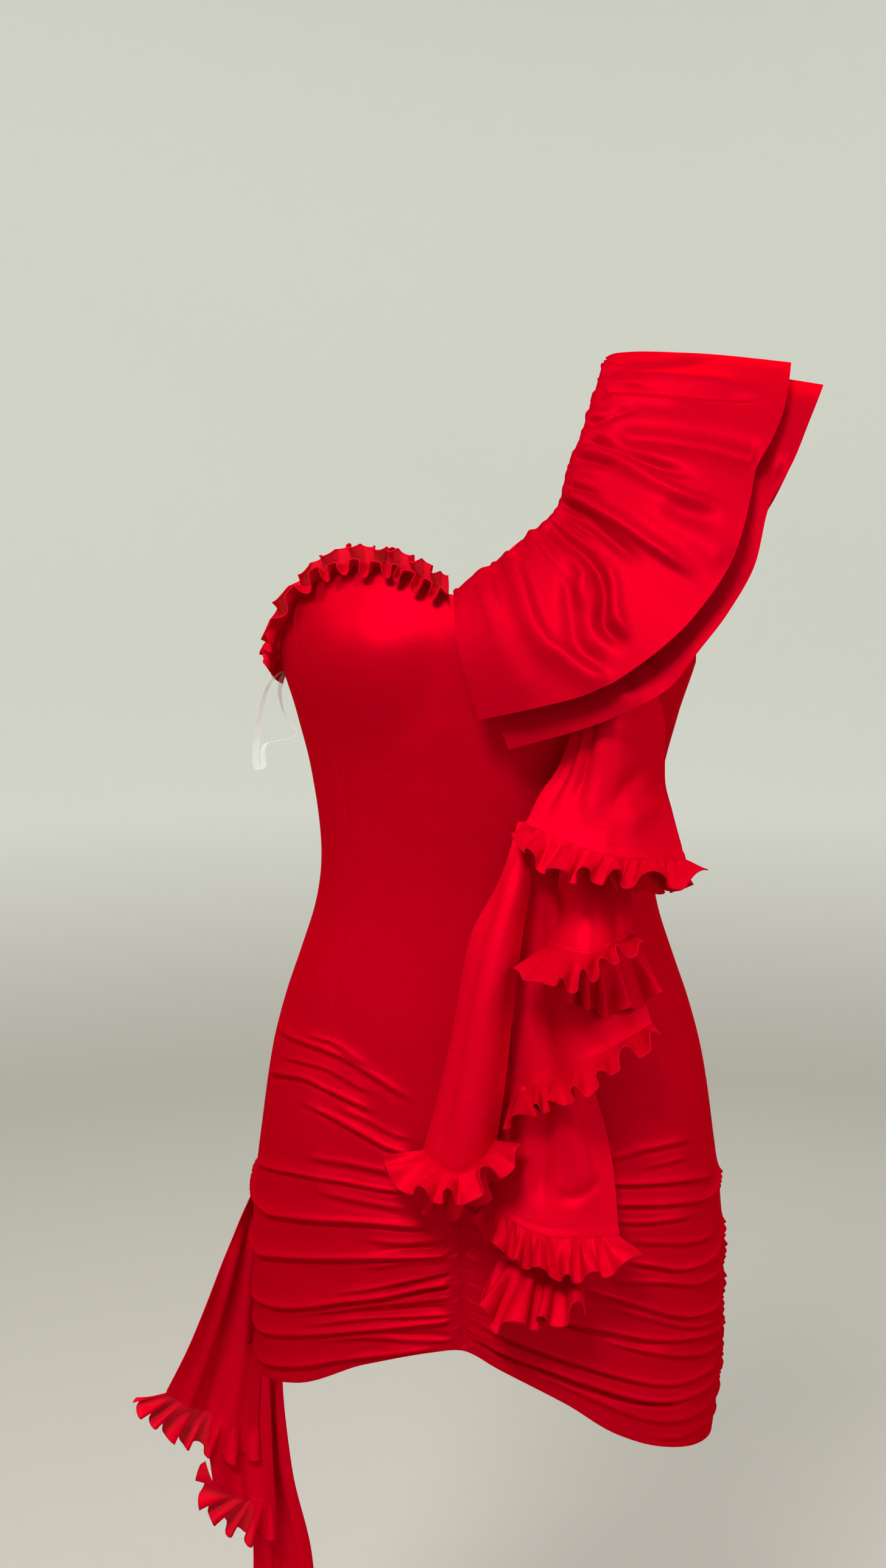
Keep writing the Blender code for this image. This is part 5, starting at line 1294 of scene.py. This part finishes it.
def collar_creases(strength):
    """The folds of the front half, and their like on the back half, as column and row shares."""
    rows = []
    for high, below, above, fade_in, fade_out, line in unpacked(COLLAR_FOLDS):
        front = [(share / 2, 1 - across) for share, across in line]
        back = [
            (1 - (share + BACK_FOLD_STRAY * math.sin(BACK_FOLD_STRAY_RATE * share)) / 2, 1 - across)
            for share, across in line
        ]
        rows.append((high * strength, below, above, fade_in, fade_out, front))
        widths = above * BACK_FOLD_WIDTH, below * BACK_FOLD_WIDTH
        rows.append((high * strength * BACK_FOLD_STRENGTH, *widths, fade_in, fade_out, back))
    return rows


def seam_gathers(count, seed):
    """Small gathers along a seam: share, height, width and reach."""
    pick = np.random.default_rng(seed)
    places = (np.arange(count) + 0.5 + SEAM_GATHER_STRAY * (pick.random(count) - 0.5)) / count * 2.0
    return [(place, *drawn(pick, SEAM_GATHER_SPANS)) for place in places]


def collar_layer(node, edge_rows, lift, arch, strength, seed):
    grid, out, share, across = collar_base(edge_rows, lift, arch)
    step = np.linalg.norm(np.gradient(grid, axis=1), axis=2) / np.gradient(share[0])[None]
    rise = creased(grid, collar_creases(strength))
    rise *= ease(*FOLDS_START, across)
    puffed = np.zeros(grid.shape[:2])
    for place, high, wide, reach in seam_gathers(COLLAR_SEAM_GATHERS, seed):
        away = (share - place) * step
        rise += high * (ease(*GATHERS_START, across) * peak(across, reach)) * peak(away, wide)
        puffed += high * peak(away, wide * SEAM_PUFF_WIDTH) * peak(across, SEAM_PUFF_REACH)
    toward_neck = unit(grid[-1] - grid[0])[None]
    grid = grid + out * rise[..., None] + toward_neck * (puffed * SEAM_PUFF)[..., None]
    # The collar takes the darker copy of the crepe, whose colour holds painted shade.
    piece = cloth_shell(node + "_cloth", grid, COLLAR_CLOTH, COLLAR_CREPE_PAINTED_SHADE)
    declare(node, piece, "gathered")
    finish_piece(piece, [node], "ruffle_crepe")


def smooth_noise(count, points, seed):
    """A smooth random line of count values between -1 and 1."""
    pick = np.random.default_rng(seed)
    return through(pick.uniform(-1.0, 1.0, points)[:, None], count)


def frill(
    node, seam, edge, material, seed, waves, deep, gathers, bulge, loop, scallop, crowd=1.0, lean=FRILL_LEAN,
):
    """A gathered strip from a seam to a free edge, in soft waves that open into loops towards the edge.

    seam and edge hold points at even shares. gathers is how many bulges the stitches of its seam make, and
    bulge how far those stand out. scallop is how much shorter the strip looks where its edge swings out.
    crowd above 1 brings the waves together towards the strip's last end, and below 1 towards its first.
    """
    count = len(seam)
    share = np.linspace(0.0, 1.0, count)
    across = unit(edge - seam)
    middle = seam + (edge - seam) * 0.5
    ahead = unit(np.gradient(middle, axis=0))
    out = unit(np.cross(ahead, across))
    ahead = unit(np.cross(across, out))
    width = np.linalg.norm(edge - seam, axis=1)
    pitch = lengths(middle).sum() / waves
    phase = 2 * math.pi * waves * share**crowd + WAVE_STRAY * smooth_noise(count, waves + 3, seed)
    size = deep * (1.0 + DEPTH_CHANGE * smooth_noise(count, 2 * waves + 3, seed + 1))
    from_end = np.minimum(1.0, np.minimum(share, 1 - share) * waves * 2.0)
    size = size * (DEPTH_AT_ENDS + (1 - DEPTH_AT_ENDS) * from_end)
    tilt = lean * pitch * smooth_noise(count, waves + 4, seed + 2)
    longer = 1 + LENGTH_CHANGE * smooth_noise(count, 2 * waves + 5, seed + 3)
    caught = math.pi * (gathers * share + GATHER_STRAY * smooth_noise(count, gathers + 3, seed + 4))
    puff = np.abs(np.sin(caught)) ** PUFF_ROUNDNESS - PUFF_LEVEL
    puff = puff * (1.0 + BULGE_CHANGE * smooth_noise(count, 2 * gathers + 3, seed + 5))
    grid = []
    for v in np.linspace(0.0, 1.0, FRILL_ROWS)[::-1]:
        swing = size * v**SWING_POWER * (np.sin(phase) + SECOND_WAVE * np.cos(2 * phase))
        side = -loop * pitch * v * np.sin(2 * phase) * np.minimum(size / deep, LOOP_LIMIT) + tilt * v * v
        shortest = SHORTEST_DROP * width * v
        drop = np.sqrt(np.maximum((width * v * longer) ** 2 - SWING_SHORTENS * swing**2, shortest**2))
        drop = drop * (1 - scallop * v * np.maximum(np.sin(phase), 0.0))
        puffed = bulge * puff * mix(PUFF_AT_SEAM, 1.0, float(ease(*PUFF_RISES, v)))
        puffed = puffed * (1 - PUFF_LOST * float(ease(*PUFF_FALLS, v)))
        grid.append(seam + across * drop[:, None] + out * (swing + puffed)[:, None] + ahead * side[:, None])
    grid = np.array(grid)
    piece = cloth_shell(node + "_cloth", grid, FRILL_CLOTH, material)
    thread = tube(node + "_overlock", grid[0], OVERLOCK_RADIUS, THREAD, OVERLOCK_SIDES)
    declare(node, piece, "gathered", [finish_piece(thread, [], "frill_crepe")])
    finish_piece(piece, [node], "frill_crepe")


class Skin:
    """The finished outer faces of the body pieces, on which others are seated."""

    def __init__(self, pieces):
        points, faces = [], []
        for piece in pieces:
            start = len(points)
            values = np.zeros(len(piece.data.vertices) * 3)
            piece.data.vertices.foreach_get("co", values)
            half = len(values) // 6
            points += (values.reshape(-1, 3)[:half] + ORIGIN).tolist()
            faces += [
                [start + k for k in polygon.vertices] for polygon in piece.data.polygons
                if max(polygon.vertices) < half
            ]
        self.tree = BVHTree.FromPolygons(points, faces)

    def nearest(self, point):
        spot, out, _, _ = self.tree.find_nearest(Vector(point))
        return np.array(spot) + np.array(out) * SEAT

    def in_front(self, point):
        spot, out, _, _ = self.tree.ray_cast(Vector((point[0], -1.0, point[2])), Vector((0.0, 1.0, 0.0)))
        return np.array(spot) + np.array(out) * SEAT


def fold_rows(table, seated, columns, seat):
    """The rows of a fold as points. Those of the first, seated rows are put on the body by seat(point)."""
    share = np.linspace(0.0, 1.0, columns)
    rows = []
    for k, row in enumerate(parts(10000, table)):
        line = Curve(((0.0, *row[0:3]), (0.5, *row[3:6]), (1.0, *row[6:9])))(share)
        points = line[:, [0, 2, 1]] * (1.0, -1.0, 1.0)
        rows.append([seat(point) for point in points] if k < seated else points)
    return np.array(rows)


def rippled(grid, ripples, deep, returns):
    """A fold's grid, from its top row down, with soft folds that deepen towards the hem."""
    rows, columns = grid.shape[:2]
    share = np.linspace(0.0, 1.0, columns)[None]
    down = np.linspace(0.0, 1.0, rows)[:, None]
    out = -grid_normals(grid)
    wave = np.cos(2 * math.pi * ripples * share) * np.sin(math.pi * share) * ease(RIPPLES_START, 1.0, down)
    grid = grid + out * (deep * wave)[..., None]
    turned = ease(RETURN_START, RETURN_FULL, down)
    for (x, y), edge in zip(parts(1000, returns), (1 - share, share)):
        grid = grid + np.array((x, y, 0.0)) * (turned * edge**RETURN_POWER)[..., None]
    return grid


def fold_piece(node, fold, seat, columns, rows, held):
    """Makes a fold, and gives the points of its hem and how far these have moved from its table."""
    seated, ripples, deep, returns, creases, table = fold
    plain = fold_rows(table, seated, columns, seat)
    grid = through(plain.reshape(len(plain), -1), rows).reshape(rows, -1, 3)
    grid = rippled(grid, ripples, deep, returns)
    out = -grid_normals(grid)
    down = np.linspace(0.0, 1.0, rows)[:, None]
    rise = creased(grid, unpacked(creases)) * ease(*CREASES_START, down)
    # the seam above the frill: a turned lip with a line of stitches
    above = (1 - down) * lengths(grid).sum(axis=0).mean()
    (high, place, wide), (sunk, stitches, narrow) = HEM_LIP, LIP_STITCHES
    rise += high * peak(above - place, wide) - sunk * peak(above - stitches, narrow) + 0 * rise
    grid = grid + out * rise[..., None]
    piece = cloth_shell(node + "_cloth", grid[::-1], FLOUNCE_CLOTH, CREPE)
    finish_piece(piece, [node], "ruffle_crepe")
    declare(node, piece, held)
    return grid[-1], grid[-1] - plain[-1]


def along(points, share):
    at = np.linspace(0.0, 1.0, len(points))
    return np.stack([np.interp(share, at, points[:, k]) for k in range(3)], axis=1)


def hem_frill(node, hem_line, behind, material, seed, columns, form, edge_rows):
    """A frill under a fold's hem. Its free edge moves with the fold's ripples."""
    points, moved = hem_line
    edge = Curve(parts(1000, edge_rows))
    share = np.linspace(edge.at[0], 1.0, columns)
    x, height, out = np.moveaxis(edge(share), -1, 0)
    free = np.stack([x, -out, height], axis=-1) + along(moved, share)
    frill(node, along(points, share) + (0.0, behind, 0.0), free, material, seed, *form)


# Body
front_edge = Curve(STRAPLESS_EDGE + NECK_EDGE[1:])
skin = Skin([
    body_panel("front_side_right", constant(-SIDE), princess_seam, front_edge, width=0.115),
    body_panel("front_centre", princess_seam, flounce_seam, front_edge, width=0.160),
    body_panel("front_left", flounce_seam, constant(SIDE), Curve(ARMHOLE), width=0.200),
    body_panel("back", constant(SIDE), constant(RIGHT_SIDE_OF_BACK), back_edge, width=0.480),
    strap_half("shoulder_front", back=False),
    strap_half("shoulder_back", back=True),
])

for layer in COLLAR_LAYERS:
    collar_layer(*layer)

# Neckline frill
neck_angles = np.linspace(*NECKLINE_ANGLES, NECKLINE_COLUMNS)
neck_turned = np.where(neck_angles >= -SIDE, neck_angles, neck_angles + 360.0)
neck_runs = np.where(neck_angles >= -SIDE, strapless_edge(neck_angles), back_edge(neck_angles + 360.0))
neck_up, neck_out = unit(upward(neck_turned, neck_runs)), normal(neck_turned, neck_runs)
for (node, rise, lean, lift, drop, waves, deep), material in zip(NECKLINE_FRILLS, (ORGANZA, FRILL)):
    start = surface(neck_turned, neck_runs - drop) + neck_out * lift
    end = start + (neck_up * rise + neck_out * lean) * NECKLINE_WIDTH
    frill(
        node, start, end, material, NECKLINE_SEED, waves, deep, 2 * waves, bulge=0.0007, loop=0.075,
        scallop=0.16, lean=0.16,
    )

# Flounce
fold_hems = [
    fold_piece("flounce_fold_%d" % number, fold, skin.in_front, FOLD_COLUMNS, FOLD_ROWS, "gathered")
    for number, fold in enumerate(FLOUNCE_FOLDS, 1)
]
for number, row, *form in FLOUNCE_FRILLS:
    behind = SECOND_ROW_BEHIND if row == "b" else 0.0
    seed = FLOUNCE_SEED + number * 2 + (row == "b")
    hem_frill("flounce_frill_%d%s" % (number, row), fold_hems[number - 1], behind, FRILL, seed, *form)

# Train
for number, (fold, form) in enumerate(zip(TRAIN_FOLDS, TRAIN_FRILLS), 1):
    hem_line = fold_piece("train_fold_%d" % number, fold, skin.nearest, TRAIN_COLUMNS, TRAIN_ROWS, "hung")
    hem_frill("train_frill_%d" % number, hem_line, 0.0, ORGANZA, TRAIN_SEED + number, *form)

# Clear hanger loop: a band that turns slowly along its route
route = through(parts(10000, HANGER_ROUTE), HANGER_POINTS)
middle = np.stack([route[:, 0], -route[:, 1], route[:, 2]], axis=-1)
turn = np.linspace(0.0, HANGER_TWIST, HANGER_POINTS)[:, None]
side = np.array([0.0, 1.0, 0.0]) * np.cos(turn) + np.array([1.0, 0.0, HANGER_LEAN]) * np.sin(turn)
band = np.stack([middle - side * HANGER_WIDTH / 2, middle, middle + side * HANGER_WIDTH / 2])
elastic = cloth_shell("hanger_loop_band", band, ELASTIC_BAND, ELASTIC)
finish_piece(elastic, ["hanger_loop"], "clear_elastic")
loop_length = float(lengths(middle).sum())
cord_path = (middle - ORIGIN).tolist()
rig.cord(
    elastic, exit=cord_path[0], length=round(loop_length, 3), diameter=HANGER_WIDTH, far_end="object",
    stiffness="limp", lay="hanging", path=cord_path, with_pieces=[],
)

# Room: a pale floor that turns up into a plain wall all round
profile = [(0.0, 0.0), (ROOM_RADIUS - COVE, 0.0)]
profile += [
    (ROOM_RADIUS - COVE + COVE * math.sin(t), COVE - COVE * math.cos(t))
    for t in np.linspace(COVE_START, math.pi / 2, COVE_STEPS)
]
profile += [(ROOM_RADIUS, top) for top in WALL_TOPS]
floor = FLOOR_HEIGHT - ORIGIN[2]
turns = np.linspace(0.0, 2 * math.pi, ROOM_SIDES + 1)[:-1]
points = [
    (radius * math.cos(t), radius * math.sin(t), height + FLOOR_HEIGHT - ORIGIN[2])
    for radius, height in profile for t in turns
]
index = np.arange(len(points)).reshape(-1, ROOM_SIDES)
a, b = index[:-1], index[1:]
faces = np.stack([a, np.roll(a, -1, 1), np.roll(b, -1, 1), b], axis=-1).reshape(-1, 4).tolist()
wall_paint, tree, shader = new_material("wall_paint", WALL_PAINT, roughness=0.9, Specular_IOR_Level=0.1)
place = add_node(tree, "TexCoord").outputs["Object"]
up = add_node(tree, "SeparateXYZ", Vector=place).outputs["Z"]
low, high = (floor + height for height in SHADE_HEIGHTS)
share = add_node(tree, "MapRange", Value=up, From_Min=low, From_Max=high).outputs["Result"]
set_values(tree, shader, Base_Color=colour_ramp(tree, share, (0.0, FLOOR_PAINT), (1.0, WALL_PAINT)))
room = new_object("room", np.array(points), faces, wall_paint)
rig.stage(room)

# Light
world = bpy.data.worlds.new("studio")
bpy.context.scene.world = world
world.use_nodes = True
set_values(world.node_tree, world.node_tree.nodes["Background"], Color=WORLD_COLOUR, Strength=WORLD_STRENGTH)


def area_light(name, place, target, size, power):
    lamp = bpy.data.lights.new(name, "AREA")
    lamp.shape, lamp.size, lamp.energy = "DISK", size, power
    item = bpy.data.objects.new(name, lamp)
    item.location = place
    item.rotation_euler = (Vector(target) - Vector(place)).to_track_quat("-Z", "Y").to_euler()
    bpy.context.scene.collection.objects.link(item)


for light in LIGHTS:
    area_light(*light)
for k in range(WALL_LIGHTS):
    turned = math.radians(WALL_LIGHT_TURN + 360.0 / WALL_LIGHTS * k)
    x, y = WALL_LIGHT_RADIUS * math.cos(turned), WALL_LIGHT_RADIUS * math.sin(turned)
    place = np.array([x, y, WALL_LIGHT_HEIGHT])
    target = place * WALL_LIGHT_AIM - np.array([0.0, 0.0, WALL_LIGHT_DROP])
    area_light("wall_light_%d" % k, place, target, WALL_LIGHT_SIZE, WALL_LIGHT_POWER)

# Camera
camera = bpy.data.objects.new("camera", bpy.data.cameras.new("camera"))
camera.location = np.array(CAMERA_PLACE) - ORIGIN
camera.rotation_euler = (math.radians(90.0 - CAMERA_PITCH), 0.0, math.radians(CAMERA_TURN))
camera.data.lens = CAMERA_LENS
camera.data.sensor_width = CAMERA_SENSOR
bpy.context.scene.collection.objects.link(camera)
bpy.context.scene.camera = camera
bpy.context.scene.view_settings.view_transform = "Standard"

visual_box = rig.bounds()
with open("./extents.json", "w") as out_file:
    json.dump({
        "cad": [list(cad_box[0]), list(cad_box[1])], "visual": [list(visual_box[0]), list(visual_box[1])],
    }, out_file)
